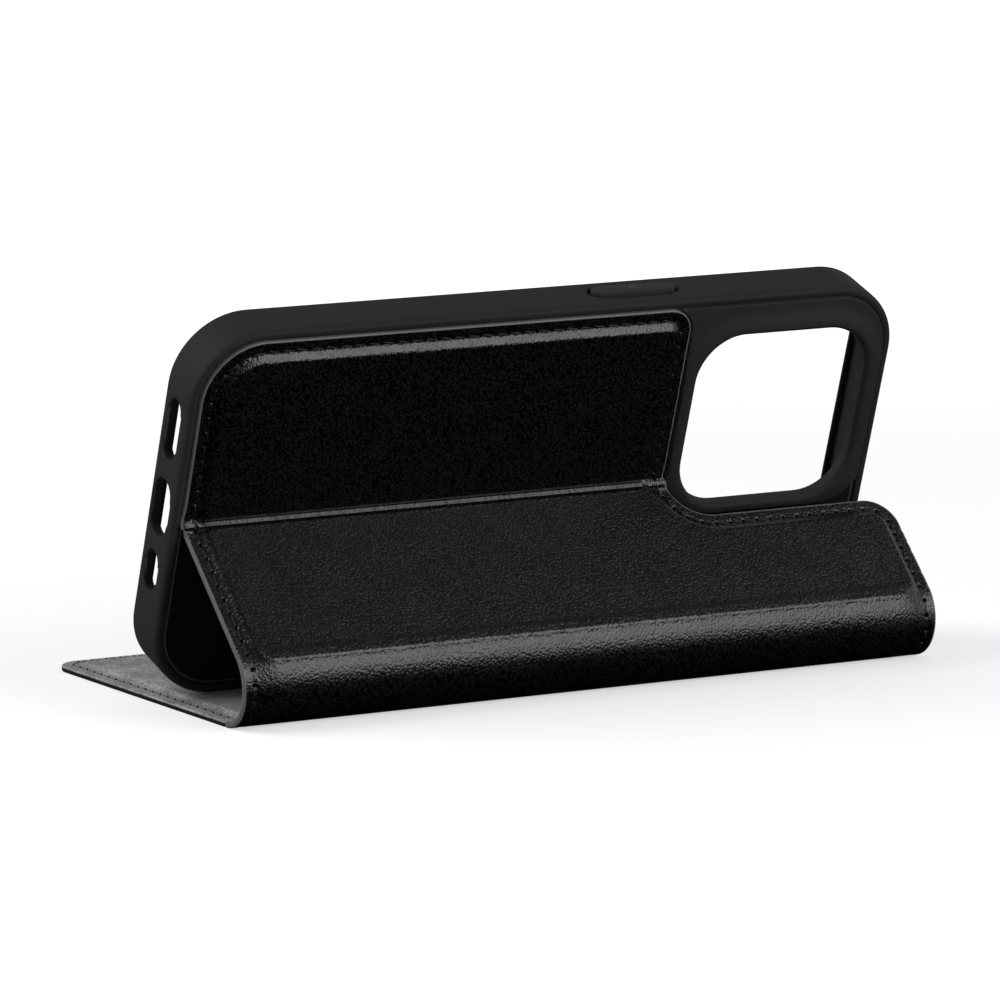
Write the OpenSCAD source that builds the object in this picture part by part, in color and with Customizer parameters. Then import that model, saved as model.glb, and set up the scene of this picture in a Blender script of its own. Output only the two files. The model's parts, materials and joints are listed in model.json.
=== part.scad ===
// Folding phone wallet case, standing open on its own cover.
//
// X runs along the phone, from the charging port end (-X) to the camera end (+X).
// Y runs across the cover, from the spine (-Y) to its free edge (+Y).
// Z is up. The origin is on the table, under the middle of the cover's footprint.
//
// Shell space:  x along the phone, y up the back, z out of the back.
// Flap space:   x along the phone, y from the spine up to the back fold, z outwards.
// Cover space:  x along the phone, y away from the spine, z up.

/* [Phone] */
// Length of the phone that the pocket holds
phone_len = 147.5; // [130:0.5:165]
// Width of the phone
phone_wid = 71.5; // [66:0.5:80]
// Thickness of the phone
phone_thk = 7.85; // [7:0.05:9]
// Clearance around the phone in its pocket
phone_fit = 0.1; // [0:0.05:0.3]

/* [Shell] */
// Wall around the phone
shell_wall = 1.9; // [1.6:0.1:2.6]
// Back of the shell at its rim
shell_back = 1.6; // [1.4:0.1:2.4]
// Corner radius of the shell seen from the back
shell_corner = 14; // [10:0.5:16]
// Width of the rounded rim on the back edge
rim_wid = 2.3; // [2:0.1:3]
// Height of the rounded rim on the side wall
rim_fall = 2.4; // [1.5:0.1:3]
// Rounding of the screen side edge
screen_round = 1; // [0.6:0.1:1.4]
// How far the lip reaches over the phone's front
lip_reach = 1.2; // [0.8:0.1:2]
// Thickness of that lip
lip_thk = 0.7; // [0.5:0.1:1.2]
// Depth of the recess that takes the leather
recess_depth = 0.8; // [0.5:0.05:1]
// Thickness of the fibre lining inside the pocket
pocket_lining_thk = 0.3; // [0.2:0.05:0.6]

/* [Camera window] */
// Size of the window along the phone
window_len = 37.8; // [25:0.2:42]
// Size of the window across the phone
window_wid = 36; // [25:0.2:40]
// Corner radius of the window
window_round = 9.5; // [5:0.5:14]
// From the camera end of the shell to the middle of the window
window_from_end = 24.5; // [23:0.5:30]
// From the key side of the shell to the middle of the window
window_from_side = 26.2; // [24:0.2:30]
// Width of the raised ring around the window
window_ring = 2.1; // [1.5:0.1:2.4]
// Height of the raised ring above the back
window_ring_height = 1.3; // [0.6:0.1:2]
// Height of the smooth field around the ring
field_height = 0.3; // [0.1:0.1:0.6]
// Corner radius of that field
field_round = 9; // [4:0.5:12]

/* [Ports] */
// Length of the charging port opening
port_len = 11.6; // [9:0.2:14]
// Height of the charging port opening
port_height = 6.2; // [4.5:0.1:6.4]
// Length of the loudspeaker slot
speaker_len = 12.3; // [8:0.1:14]
// Length of the microphone slot
mic_len = 8.2; // [5:0.1:12]
// Height of the loudspeaker and microphone slots
slot_height = 4.4; // [3:0.1:5]
// From the port to the middle of the loudspeaker slot
speaker_offset = 16.1; // [14:0.1:20]
// From the port to the middle of the microphone slot
mic_offset = 13.2; // [12:0.1:20]
// Length of the silent switch opening
switch_len = 10; // [7:0.5:12]
// From the camera end of the shell to the middle of the switch opening
switch_from_end = 32.2; // [28:0.1:34]

/* [Keys] */
// Length of the side key
side_key_len = 18; // [12:0.5:20]
// Length of each volume key
volume_key_len = 10.4; // [8:0.2:12]
// Width of every key
key_wid = 3.4; // [2.5:0.1:4]
// How far a key stands out of the wall
key_rise = 0.5; // [0.3:0.05:0.8]
// How far a key can be pressed
key_travel = 0.35; // [0.2:0.05:0.4]
// Thickness of the flange that holds a key in
flange_thk = 0.5; // [0.3:0.05:0.6]
// How far the flange reaches past the key
flange_reach = 0.8; // [0.5:0.1:1.1]
// Gap along the sides of a key
key_side_gap = 0.2; // [0.1:0.05:0.3]
// Gap at the two ends of a key
key_end_gap = 0.7; // [0.3:0.1:1]
// Gap between a key's flange and its seat
key_seat_gap = 0.05; // [0.03:0.01:0.1]
// From the camera end of the shell to the middle of the side key
side_key_from_end = 57.2; // [50:0.2:64]
// From the camera end of the shell to the middle of the upper volume key
volume_up_from_end = 45.8; // [44:0.2:48]
// From one volume key's middle to the other's
volume_pitch = 14.5; // [14:0.1:18]

/* [Leather] */
// Thickness of the leather
leather_thk = 0.8; // [0.6:0.05:1.2]
// Thickness of the fibre lining
lining_thk = 0.4; // [0.3:0.05:0.6]
// Thickness of the stiff boards
board_thk = 0.6; // [0.4:0.05:1]
// Thickness of the bonding film under the back panel
film_thk = 0.1; // [0.05:0.05:0.2]
// Length of the cover, spine and flap
leather_len = 150.4; // [140:0.2:156]
// How far the leather sits towards the camera end
leather_shift = 2; // [0:0.1:3]
// From a leather edge to the board under it
board_inset = 4.6; // [3.5:0.1:8]
// How far the raised leather reaches past its board
pad_lap = 0.6; // [0.3:0.1:1]
// Gap between the back panel and its recess
panel_gap = 0.15; // [0.1:0.05:0.3]
// Right edge of the back panel, measured from the camera window
panel_to_window = 3; // [2.6:0.1:5]
// Corner radius of the back panel beside the camera
panel_round = 5; // [3:0.5:8]

/* [Stand] */
// How far the shell leans back from upright, in degrees
lean = 19; // [12:0.5:25]
// Height of the back fold, measured up the shell
fold_height = 36.2; // [34:0.2:40]
// Length of the free flap from the back fold to the spine
flap_len = 28.4; // [26:0.2:32]
// Slope of the flap above the table, in degrees
flap_slope = 49.84; // [46:0.02:54]
// Outer radius of the rounded spine where it rolls up off the table
spine_radius = 8.6; // [7.5:0.1:9.5]
// Gap between the shell's foot and what it stands on
foot_gap = 0.15; // [0.1:0.05:0.4]
// Gap between the two leathers at the back fold
fold_gap = 0.05; // [0.03:0.01:0.1]
// Depth of the flap's camera notch below the fold
notch_depth = 7.6; // [6:0.2:10]
// Inner corner radius of the notch
notch_round = 7.6; // [4:0.2:9]
// From the edge of the back panel to the notch
notch_step = 1; // [0.5:0.1:2]
// Corner radius of the flap at the camera end
flap_round = 6; // [3:0.5:9]
// From the back fold to the raised part on either side of it
crease_margin = 1.6; // [1.2:0.1:3]
// From the spine to the raised part of the flap
spine_margin = 0.6; // [0.4:0.1:2]

/* [Cover] */
// Flat depth of the cover from the spine to its free edge
cover_reach = 70.6; // [64:0.2:80]
// Radius of the cover's free corners
cover_round = 5; // [2:0.5:9]

/* [Card pockets] */
// Thickness of one pocket leaf
leaf_thk = 0.25; // [0.2:0.05:0.4]
// Width of the pocket across the cover
pocket_wid = 58; // [56:0.5:60]
// Closed end of the pockets, measured from the cover's port end
pocket_start = 25; // [15:0.5:35]
// Length of the longest pocket leaf
pocket_len = 92; // [86:0.5:100]
// How much shorter each further leaf is
pocket_step = 12; // [8:0.5:16]
// Radius of the thumb scoop in each pocket mouth
thumb_radius = 9; // [6:0.5:12]
// From the spine to the pockets
pocket_from_spine = 6.5; // [5.5:0.1:7]
// Gap around the pockets in the lining's window
pocket_gap = 0.2; // [0.1:0.05:0.5]

/* [Stitching] */
// From a leather edge to the seam
seam_inset = 3; // [2:0.1:4]
// Width of the seam
seam_wid = 0.5; // [0.3:0.05:0.8]
// Height of the seam above the leather
seam_height = 0.2; // [0.1:0.05:0.3]

/* [Hidden] */
$fn = 64;

// Shell
pocket_len_in = phone_len + 2 * phone_fit;
pocket_wid_in = phone_wid + 2 * phone_fit;
pocket_depth = phone_thk + phone_fit / 2 + pocket_lining_thk;
shell_len = pocket_len_in + 2 * shell_wall;
shell_wid = pocket_wid_in + 2 * shell_wall;
shell_depth = shell_back + pocket_depth + lip_thk;
recess_round = shell_corner - rim_wid;
port_level = -(shell_back + pocket_lining_thk + phone_thk / 2);
ribs = 6;

// Camera window, in shell space
window_x = shell_len / 2 - window_from_end;
window_y = shell_wid - window_from_side;
field_left = window_x - window_len / 2 - window_ring - 0.4;
field_bottom = window_y - window_wid / 2 - window_ring - 0.1;

// Back panel, in shell space
panel_left = -shell_len / 2 + rim_wid + panel_gap;
panel_right = window_x - window_len / 2 - panel_to_window;
panel_top = shell_wid - rim_wid - panel_gap;
panel_floor = -recess_depth + film_thk;
panel_face = panel_floor + leather_thk;

// Leather that runs from the flap round the spine to the cover
leather_left = leather_shift - leather_len / 2;
leather_right = leather_shift + leather_len / 2;
skin_thk = leather_thk + lining_thk;

// Cover stack, from the table up
board_level = leather_thk;
lining_level = board_level + board_thk;
cover_top = lining_level + lining_thk;
pocket_count = 3;
stack_top = max(cover_top, lining_level + pocket_count * leaf_thk);

// Stand: the shell's foot rests over the cover, and the spine's upper bend runs into the flap
foot_drop = rim_wid * cos(lean) + rim_fall * sin(lean)
    - sqrt(pow(rim_wid * cos(lean), 2) + pow(rim_fall * sin(lean), 2));
shell_z = stack_top + foot_gap - foot_drop;
fold_z = shell_z + fold_height * cos(lean) - panel_face * sin(lean);
crease_z = fold_z - flap_len * sin(flap_slope);
upper_radius = (crease_z - spine_radius) / cos(flap_slope);
front_y = -(spine_radius + cover_reach) / 2;
spine_y = front_y + spine_radius;
crease_y = spine_y - spine_radius + upper_radius * (1 - sin(flap_slope));
fold_y = crease_y + flap_len * cos(flap_slope);
shell_y = fold_y + fold_height * sin(lean) + panel_face * cos(lean);

// Back fold: its axis lies on the flap's inner face, just over the back panel
fold_angle = 90 + lean - flap_slope;
fold_back = (skin_thk + fold_gap * cos(fold_angle)) / sin(fold_angle);
fold_axis_height = fold_height - fold_back;
flap_start = fold_back * cos(fold_angle) + fold_gap * sin(fold_angle);
flap_reach = flap_len - flap_start;
flap_shoulder = flap_len - notch_depth;
notch_x = panel_right + notch_step;

// Card pockets, in cover space
pocket_left = leather_left + pocket_start;

// ---------- shared shapes ----------

// Outline from corner a to corner b, with radii [near left, near right, far right, far left]
module rounded_rect(a, b, r) {
    difference() {
        translate(a) square(b - a);
        corner_cut([a.x, a.y], [1, 1], r[0]);
        corner_cut([b.x, a.y], [-1, 1], r[1]);
        corner_cut([b.x, b.y], [-1, -1], r[2]);
        corner_cut([a.x, b.y], [1, -1], r[3]);
    }
}

// What rounding takes off one corner
module corner_cut(at, side, r) {
    if (r > 0)
        translate(at) scale([side.x, side.y]) difference() {
            translate([-1, -1]) square(r + 1);
            translate([r, r]) circle(r);
        }
}

// Slot outline with round ends, along x
module slot_outline(len, wid) {
    square([len - wid, wid], center = true);
    for (end = [-1, 1]) translate([end * (len - wid) / 2, 0]) circle(d = wid);
}

// Carries a profile round a rounded rectangle; profile x is measured out from the outline
module swept_frame(len, wid, r) {
    for (quarter = [0:3]) {
        long = quarter % 2 == 0 ? len : wid;
        short = quarter % 2 == 0 ? wid : len;
        rotate(quarter * 90) {
            translate([long / 2 - r, short / 2 - r]) rotate_extrude(angle = 90) translate([r, 0]) children();
            translate([long / 2, short / 2 - r]) rotate([90, 0, 0]) linear_extrude(short - 2 * r) children();
        }
    }
}

module in_shell() { translate([0, shell_y, shell_z]) rotate([90 + lean, 0, 0]) children(); }
module in_flap() { translate([0, crease_y, crease_z]) rotate([flap_slope, 0, 0]) children(); }
module in_cover() { translate([0, spine_y, 0]) children(); }

// Lifts an outline from one level to another
module layer(from, to) { translate([0, 0, from]) linear_extrude(to - from) children(); }

// ---------- cover ----------

module cover_outline(inset, near = 0)
    rounded_rect([leather_left + inset, near], [leather_right - inset, cover_reach - inset],
        [0, 0, max(cover_round - inset, 1), max(cover_round - inset, 1)]);

module pocket_outline(leaf, grow = 0) {
    mouth = pocket_left + pocket_len - leaf * pocket_step;
    difference() {
        rounded_rect([pocket_left - grow, pocket_from_spine - grow],
            [mouth + grow, pocket_from_spine + pocket_wid + grow], [1, 1, 1, 1]);
        if (grow == 0)
            translate([mouth + thumb_radius * 0.6, pocket_from_spine + pocket_wid / 2]) circle(thumb_radius);
    }
}

module cover_leather() { color("#161616") in_cover() layer(0, leather_thk) cover_outline(0); }

module cover_board() {
    color("#4a4540") in_cover() layer(board_level, lining_level) cover_outline(board_inset, board_inset / 2);
}

module cover_lining() {
    color("#6b6866") in_cover() difference() {
        union() {
            layer(leather_thk, skin_thk) cover_outline(0);
            layer(skin_thk, cover_top) cover_outline(board_inset - lining_thk, board_inset / 2 - lining_thk);
        }
        layer(board_level, lining_level) cover_outline(board_inset, board_inset / 2);
        layer(lining_level, cover_top + 1) pocket_outline(0, pocket_gap);
    }
}

module card_pocket(leaf) {
    color("#232222") in_cover()
        layer(lining_level + leaf * leaf_thk, lining_level + (leaf + 1) * leaf_thk) pocket_outline(leaf);
}

module cover_thread() {
    color("#2a2a2a") in_cover() layer(skin_thk, skin_thk + seam_height) difference() {
        cover_outline(seam_inset - seam_wid / 2, spine_margin);
        cover_outline(seam_inset + seam_wid / 2, spine_margin - 1);
    }
}

// Seams along the closed end and the two long sides of the top leaf
module pocket_thread() {
    top = lining_level + pocket_count * leaf_thk;
    mouth = pocket_left + pocket_len - (pocket_count - 1) * pocket_step;
    color("#2a2a2a") in_cover() layer(top, top + foot_gap / 2) difference() {
        rounded_rect([pocket_left + 1, pocket_from_spine + 1],
            [mouth - 1, pocket_from_spine + pocket_wid - 1], [1, 1, 1, 1]);
        rounded_rect([pocket_left + 1 + seam_wid, pocket_from_spine + 1 + seam_wid],
            [mouth, pocket_from_spine + pocket_wid - 1 - seam_wid], [1, 1, 1, 1]);
    }
}

// ---------- spine ----------

// Part of a ring between two angles, with its faces at two depths under radius r
module bend(r, outer, inner, low, high) {
    middle = (low + high) / 2;
    intersection() {
        difference() {
            circle(r - outer);
            circle(r - inner);
        }
        polygon(concat([[0, 0]], [for (a = [low, middle, high]) 2 * r * [cos(a), sin(a)]]));
    }
}

// Band round the spine between two depths, rolled up off the table and over into the flap
module spine_band(outer, inner, from, to) {
    translate([from, spine_y, spine_radius]) rotate([90, 0, 90]) linear_extrude(to - from) {
        bend(spine_radius, outer, inner, 180, 270);
        translate([upper_radius - spine_radius, 0])
            bend(upper_radius, outer, inner, 90 + flap_slope, 180);
    }
}

module spine_leather() {
    color("#161616") spine_band(0, leather_thk, leather_left, leather_right);
}

module spine_lining() {
    color("#6b6866") spine_band(leather_thk, skin_thk, leather_left, leather_right);
}

// Short seams round both ends of the spine, on its inner face
module spine_thread() {
    color("#2a2a2a") for (x = [leather_left + seam_inset, leather_right - seam_inset])
        spine_band(skin_thk, skin_thk + seam_height, x - seam_wid / 2, x + seam_wid / 2);
}

// ---------- flap ----------

// Flap outline; the room beside the camera is cut away with a round inner corner
module flap_outline(inset, near, far) {
    shoulder = flap_shoulder - inset;
    side = notch_x - inset;
    round_in = notch_round + inset;
    difference() {
        translate([leather_left + inset, near]) square([leather_len - 2 * inset, far - near]);
        rounded_rect([side, shoulder], [leather_right + 1, far + round_in + 1], [round_in, 0, 0, 0]);
        corner_cut([leather_right - inset, shoulder], [-1, -1], max(flap_round - inset, 1));
    }
}

module flap_leather() {
    color("#161616") in_flap() difference() {
        union() {
            layer(-leather_thk, 0) flap_outline(0, 0, flap_reach);
            layer(0, board_thk) flap_outline(board_inset - pad_lap, spine_margin, flap_reach - crease_margin);
        }
        flap_board_space();
    }
}

module flap_board_space()
    layer(-leather_thk, board_thk - leather_thk)
        flap_outline(board_inset, spine_margin + pad_lap, flap_reach - crease_margin - pad_lap);

module flap_board() { color("#4a4540") in_flap() flap_board_space(); }

module flap_lining() {
    color("#1d1d1e") in_flap() layer(-skin_thk, -leather_thk) flap_outline(0, 0, flap_reach);
}

module flap_thread() {
    color("#2a2a2a") in_flap() layer(0, seam_height) difference() {
        flap_outline(seam_inset - seam_wid / 2, spine_margin, flap_reach - spine_margin);
        flap_outline(seam_inset + seam_wid / 2, spine_margin - 1, flap_reach + 1);
    }
}

// ---------- shell ----------

// Section through the shell's wall; x = 0 is its outer face and y = 0 its back
function wall_section() = concat(
    [[-shell_wall - lip_reach, -shell_depth]],
    [for (i = [0:ribs]) [-screen_round * (1 - sin(90 * i / ribs)),
        -shell_depth + screen_round * (1 - cos(90 * i / ribs))]],
    [for (i = [0:ribs]) [-rim_wid * (1 - cos(90 * i / ribs)), -rim_fall * (1 - sin(90 * i / ribs))]],
    [[-rim_wid, -shell_back], [-shell_wall, -shell_back], [-shell_wall, -shell_depth + lip_thk],
        [-shell_wall - lip_reach, -shell_depth + lip_thk]]);

// Section through the raised ring; x = 0 is the edge of the window
function ring_section() = [[0, -shell_back], [window_ring, -shell_back], [window_ring, field_height],
    [window_ring * 0.7, window_ring_height], [window_ring * 0.4, window_ring_height],
    [0, window_ring_height * 0.4]];

module window_outline()
    translate([window_x, window_y]) rounded_rect(-[window_len, window_wid] / 2,
        [window_len, window_wid] / 2, window_round * [1, 1, 1, 1]);

module field_outline()
    rounded_rect([field_left, field_bottom], [shell_len / 2 - rim_wid, shell_wid - rim_wid],
        [field_round, field_round, recess_round, panel_round]);

// Recess outline inside the rim, with an inset
module recess_outline(inset = 0) {
    r = max(recess_round - inset, 1);
    edge = rim_wid + inset;
    rounded_rect([-shell_len / 2 + edge, edge], [shell_len / 2 - edge, shell_wid - edge], r * [1, 1, 1, 1]);
}

// Slot through the end wall, along the shell's width
module end_slot(y, len, height)
    translate([-shell_len / 2 - 1, y, port_level]) rotate([90, 0, 90])
        linear_extrude(shell_wall + 2) slot_outline(len, height);

// Places a key or its slot on the top side (+1) or the foot side (-1), z out of the wall
module on_side(side, from_end)
    translate([shell_len / 2 - from_end, side > 0 ? shell_wid : 0, port_level])
        rotate([-90 * side, 0, 0]) children();

module key_opening(len) {
    layer(-shell_wall - 1, 1) slot_outline(len + 2 * key_end_gap, key_wid + 2 * key_side_gap);
    layer(-shell_wall - 1, flange_top() + key_seat_gap)
        slot_outline(len + 2 * (flange_reach + key_end_gap), key_wid + 2 * (flange_reach + key_side_gap));
}

// The flange sits deep enough to leave its travel inside the wall
function flange_top() = -shell_wall + flange_thk + key_travel + key_seat_gap;

module key(len) {
    layer(flange_top(), key_rise) slot_outline(len, key_wid);
    layer(flange_top() - flange_thk, flange_top())
        slot_outline(len + 2 * flange_reach, key_wid + 2 * flange_reach);
}

module bumper_shell() {
    color("#1b1b1d") in_shell() difference() {
        union() {
            translate([0, shell_wid / 2, 0]) swept_frame(shell_len, shell_wid, shell_corner)
                polygon(wall_section());
            layer(-shell_back, -recess_depth) recess_outline(-0.2);
            layer(-shell_back, field_height) field_outline();
            translate([window_x, window_y, 0]) swept_frame(window_len, window_wid, window_round)
                polygon(ring_section());
        }
        layer(-shell_back - 1, window_ring_height + 1) window_outline();
        end_slot(shell_wid / 2, port_len, port_height);
        end_slot(shell_wid / 2 + speaker_offset, speaker_len, slot_height);
        end_slot(shell_wid / 2 - mic_offset, mic_len, slot_height);
        on_side(-1, switch_from_end) layer(-shell_wall - 1, 1) slot_outline(switch_len, slot_height);
        on_side(1, side_key_from_end) key_opening(side_key_len);
        on_side(-1, volume_up_from_end) key_opening(volume_key_len);
        on_side(-1, volume_up_from_end + volume_pitch) key_opening(volume_key_len);
    }
}

module shell_lining() {
    margin = 1.5;
    color("#3a3a3c") in_shell() layer(-shell_back - pocket_lining_thk, -shell_back) difference() {
        recess_outline(margin);
        translate([window_x, window_y]) rounded_rect(-[window_len, window_wid] / 2 - [1, 1],
            [window_len, window_wid] / 2 + [1, 1], (window_round + 1) * [1, 1, 1, 1]);
    }
}

// ---------- back panel ----------

module panel_outline(inset, low)
    rounded_rect([panel_left + inset, low], [panel_right - inset, panel_top - inset],
        [0, 0, max(panel_round - inset, 1), max(recess_round - panel_gap - inset, 1)]);

module upper_board_space()
    layer(panel_floor, panel_floor + board_thk)
        panel_outline(board_inset, fold_height + crease_margin + pad_lap);

module panel_adhesive() {
    color("#8a8a80") in_shell() layer(-recess_depth, panel_floor) panel_outline(0.3, fold_axis_height + 0.3);
}

module upper_board() { color("#4a4540") in_shell() upper_board_space(); }

module upper_leather() {
    color("#131313") in_shell() difference() {
        union() {
            layer(panel_floor, panel_face) panel_outline(0, fold_axis_height);
            layer(panel_face, panel_face + board_thk)
                panel_outline(board_inset - pad_lap, fold_height + crease_margin);
        }
        upper_board_space();
    }
}

module upper_thread() {
    low = fold_height + crease_margin;
    color("#2a2a2a") in_shell() layer(panel_face, panel_face + seam_height) difference() {
        panel_outline(seam_inset - seam_wid / 2, low);
        panel_outline(seam_inset + seam_wid / 2, low - 1);
    }
}

// ---------- keys ----------

module side_button() { color("#202022") in_shell() on_side(1, side_key_from_end) key(side_key_len); }
module volume_up() { color("#202022") in_shell() on_side(-1, volume_up_from_end) key(volume_key_len); }
module volume_down() {
    color("#202022") in_shell() on_side(-1, volume_up_from_end + volume_pitch) key(volume_key_len);
}

cover_leather();
cover_board();
cover_lining();
card_pocket(0);  // card_pocket_1
card_pocket(1);  // card_pocket_2
card_pocket(2);  // card_pocket_3
cover_thread();
pocket_thread();
spine_leather();
spine_lining();
spine_thread();
flap_leather();
flap_board();
flap_lining();
flap_thread();
bumper_shell();
shell_lining();
panel_adhesive();
upper_board();
upper_leather();
upper_thread();
side_button();
volume_up();
volume_down();
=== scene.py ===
import json
import math

import bmesh
import bpy
import numpy as np
from mathutils import Matrix, Vector
from mathutils.geometry import delaunay_2d_cdt


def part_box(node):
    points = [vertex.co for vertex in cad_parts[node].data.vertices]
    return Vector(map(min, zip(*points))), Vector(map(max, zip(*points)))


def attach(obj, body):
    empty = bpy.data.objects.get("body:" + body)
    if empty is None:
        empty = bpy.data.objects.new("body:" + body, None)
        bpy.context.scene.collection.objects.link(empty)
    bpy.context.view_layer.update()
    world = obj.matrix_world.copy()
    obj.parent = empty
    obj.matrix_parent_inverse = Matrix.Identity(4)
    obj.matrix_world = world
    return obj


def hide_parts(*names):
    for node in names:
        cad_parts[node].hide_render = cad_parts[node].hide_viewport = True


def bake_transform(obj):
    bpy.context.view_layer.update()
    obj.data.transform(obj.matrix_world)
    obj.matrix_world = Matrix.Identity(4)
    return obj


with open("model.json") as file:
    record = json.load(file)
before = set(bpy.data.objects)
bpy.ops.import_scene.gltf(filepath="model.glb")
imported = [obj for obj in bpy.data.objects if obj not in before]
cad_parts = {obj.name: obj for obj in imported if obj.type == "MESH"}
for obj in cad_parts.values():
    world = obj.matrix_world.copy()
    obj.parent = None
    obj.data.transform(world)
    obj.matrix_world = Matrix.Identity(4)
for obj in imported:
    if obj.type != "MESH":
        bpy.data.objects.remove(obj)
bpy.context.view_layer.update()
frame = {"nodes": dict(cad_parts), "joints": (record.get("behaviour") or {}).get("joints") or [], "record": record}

mm = 0.001  # sizes below are in millimetres, meshes in metres

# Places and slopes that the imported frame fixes
joints = {joint["name"]: joint for joint in frame["joints"]}
spineFoot = np.array(joints["cover_fold"]["pos_m"]) / mm
flapFoot = np.array(joints["spine_crease"]["pos_m"]) / mm
pocketMount = [m for m in frame["record"]["mounts"] if m["name"] == "phone_pocket"][0]
shellUp = -np.array(joints["side_button_press"]["axis"])
shellOut = -np.array(pocketMount["axis"])
leatherLow, leatherHigh = [np.array(corner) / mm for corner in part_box("cover_leather")]
leatherLeft, leatherRight = leatherLow[0], leatherHigh[0]
coverReach = leatherHigh[1] - spineFoot[1]


# The case's own surfaces: flat points (across, along) and a height out of them become places in the frame
def onPlane(points, out, origin, up, normal, shift=0.0):
    x = points[:, 0] + shift
    return np.column_stack([x, 0 * x, 0 * x]) + origin + np.outer(points[:, 1], up) \
        + np.outer(np.zeros(len(x)) + out, normal)


caseShell = {
    "length": 151.5, "width": 75.5, "depth": 10.5, "corner": 14.0, "wall": 1.9, "back": 1.6,
    "lining": 0.3, "rimWidth": 1.75, "rimFall": 1.9, "screenRound": 1.0,
    "lipReach": 1.2, "lipThick": 0.7, "recess": 0.8, "stationStep": 1.25, "cornerSteps": 22,
    # the last two numbers bound the band by the rim's inner edge that is painted lighter as a highlight on the
    # bead
    "beadHeight": 0.18, "beadInset": 0.55, "beadWidth": 0.2, "beadHighlightFrom": 0.4, "beadHighlightTo": 0.72,
}
shellOrigin = (np.array(pocketMount["pos_m"]) / mm - shellUp * caseShell["width"] / 2
    + shellOut * (caseShell["back"] + caseShell["lining"]))


def shellPoint(points, out, shift=0.0):
    return onPlane(points, out, shellOrigin, shellUp, shellOut, shift)


wallet = {
    "leather": 0.8, "lining": 0.4, "board": 0.6, "spineRadius": 8.6, "flapLength": 28.4,
    "coverCorner": 5.0, "edgeRound": 0.35, "paintReach": 0.4, "boardInset": 4.2, "boardMargin": 4.6,
    "notchDepth": 7.6, "notchRound": 7.6, "notchStep": 1.0, "flapCorner": 6.0,
    "foldReach": 1.4, "bendReach": 1.04, "bendHollow": 0.1,
}
slant = {"atCrease": 1.45, "atFold": -0.45, "atCover": 2.05, "coverTurn": 0.02}  # soft leather hangs askew
backPanel = {
    "foldHeight": 36.2, "left": -73.85, "right": 29.35, "top": 73.6, "corner": 12.1, "sideCorner": 5.0,
    "face": 0.2, "valleyReach": 1.15, "beadHeight": 0.18, "beadWidth": 0.9,
}
foldRun = wallet["flapLength"]  # runs up the leather count from the crease at the flap's foot
shoulderRun = foldRun - wallet["notchDepth"]
notchSide = backPanel["right"] + wallet["notchStep"]
spineTurn = math.pi - math.atan2(spineFoot[1] - flapFoot[1], flapFoot[2] - wallet["spineRadius"])
flapUp = np.array([0, -math.cos(spineTurn), math.sin(spineTurn)])
flapOut = np.array([0, -math.sin(spineTurn), -math.cos(spineTurn)])
spineRun = wallet["spineRadius"] * spineTurn
foldTurn = math.acos(float(-flapUp @ shellUp))  # between the flap's face and the back panel's


def slantAt(run):
    # how far the leather lies to the side at a run up the flap; negative runs go down round the spine
    onFlap = slant["atCrease"] + (slant["atFold"] - slant["atCrease"]) * np.clip(run / foldRun, 0, 1)
    onPanel = 1 - smooth((run - foldRun) / 5)
    onSpine = (slant["atCover"] - slant["atCrease"]) * np.clip(-run / spineRun, 0, 1)
    return onFlap * onPanel + onSpine


def flapPoint(points, out):
    return onPlane(points, out, flapFoot, flapUp, flapOut, slantAt(points[:, 1]))


def coverPoint(points, up):
    back = points[:, 1]
    x = points[:, 0] + slant["atCover"] - slant["coverTurn"] * back
    return np.column_stack([x, spineFoot[1] + back, np.zeros(len(x)) + up])


def spinePoint(points, out):
    # the run along is measured round the spine's outer face, from the table up to the flap
    run = points[:, 1]
    radius = wallet["spineRadius"] + out
    turn = run / wallet["spineRadius"]
    return np.column_stack([points[:, 0] + slantAt(run - spineRun), spineFoot[1] - radius * np.sin(turn),
        wallet["spineRadius"] - radius * np.cos(turn)])


def foldedPoint(points, out):
    # the run along goes up the flap, round the valley of the back fold and on up the back panel
    reach = backPanel["valleyReach"]
    x, run = points[:, 0], points[:, 1]
    out = np.zeros(len(points)) + out
    low, high = foldRun - reach, foldRun + reach
    shift = slantAt(run)
    panelUp = run - foldRun + backPanel["foldHeight"]
    onPanel = shellPoint(np.column_stack([x, panelUp]), out + backPanel["face"], shift)
    start = onPlane(np.column_stack([x, np.full_like(x, low)]), 0.0, flapFoot, flapUp, flapOut, shift)
    radius = reach / math.tan(foldTurn / 2)
    turn = (np.clip((run - low) / (2 * reach), 0, 1) * foldTurn)[:, None]
    normal = flapOut * np.cos(turn) - flapUp * np.sin(turn)
    onValley = start + flapOut * radius - normal * (radius - out[:, None])
    onFlap = flapPoint(points, out)
    return np.where((run < low)[:, None], onFlap, np.where((run > high)[:, None], onPanel, onValley))


# Outlines and patches
def smooth(t):
    t = np.clip(t, 0, 1)
    return t * t * (3 - 2 * t)


def unit(vectors):
    return vectors / np.linalg.norm(vectors, axis=1)[:, None]


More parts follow.
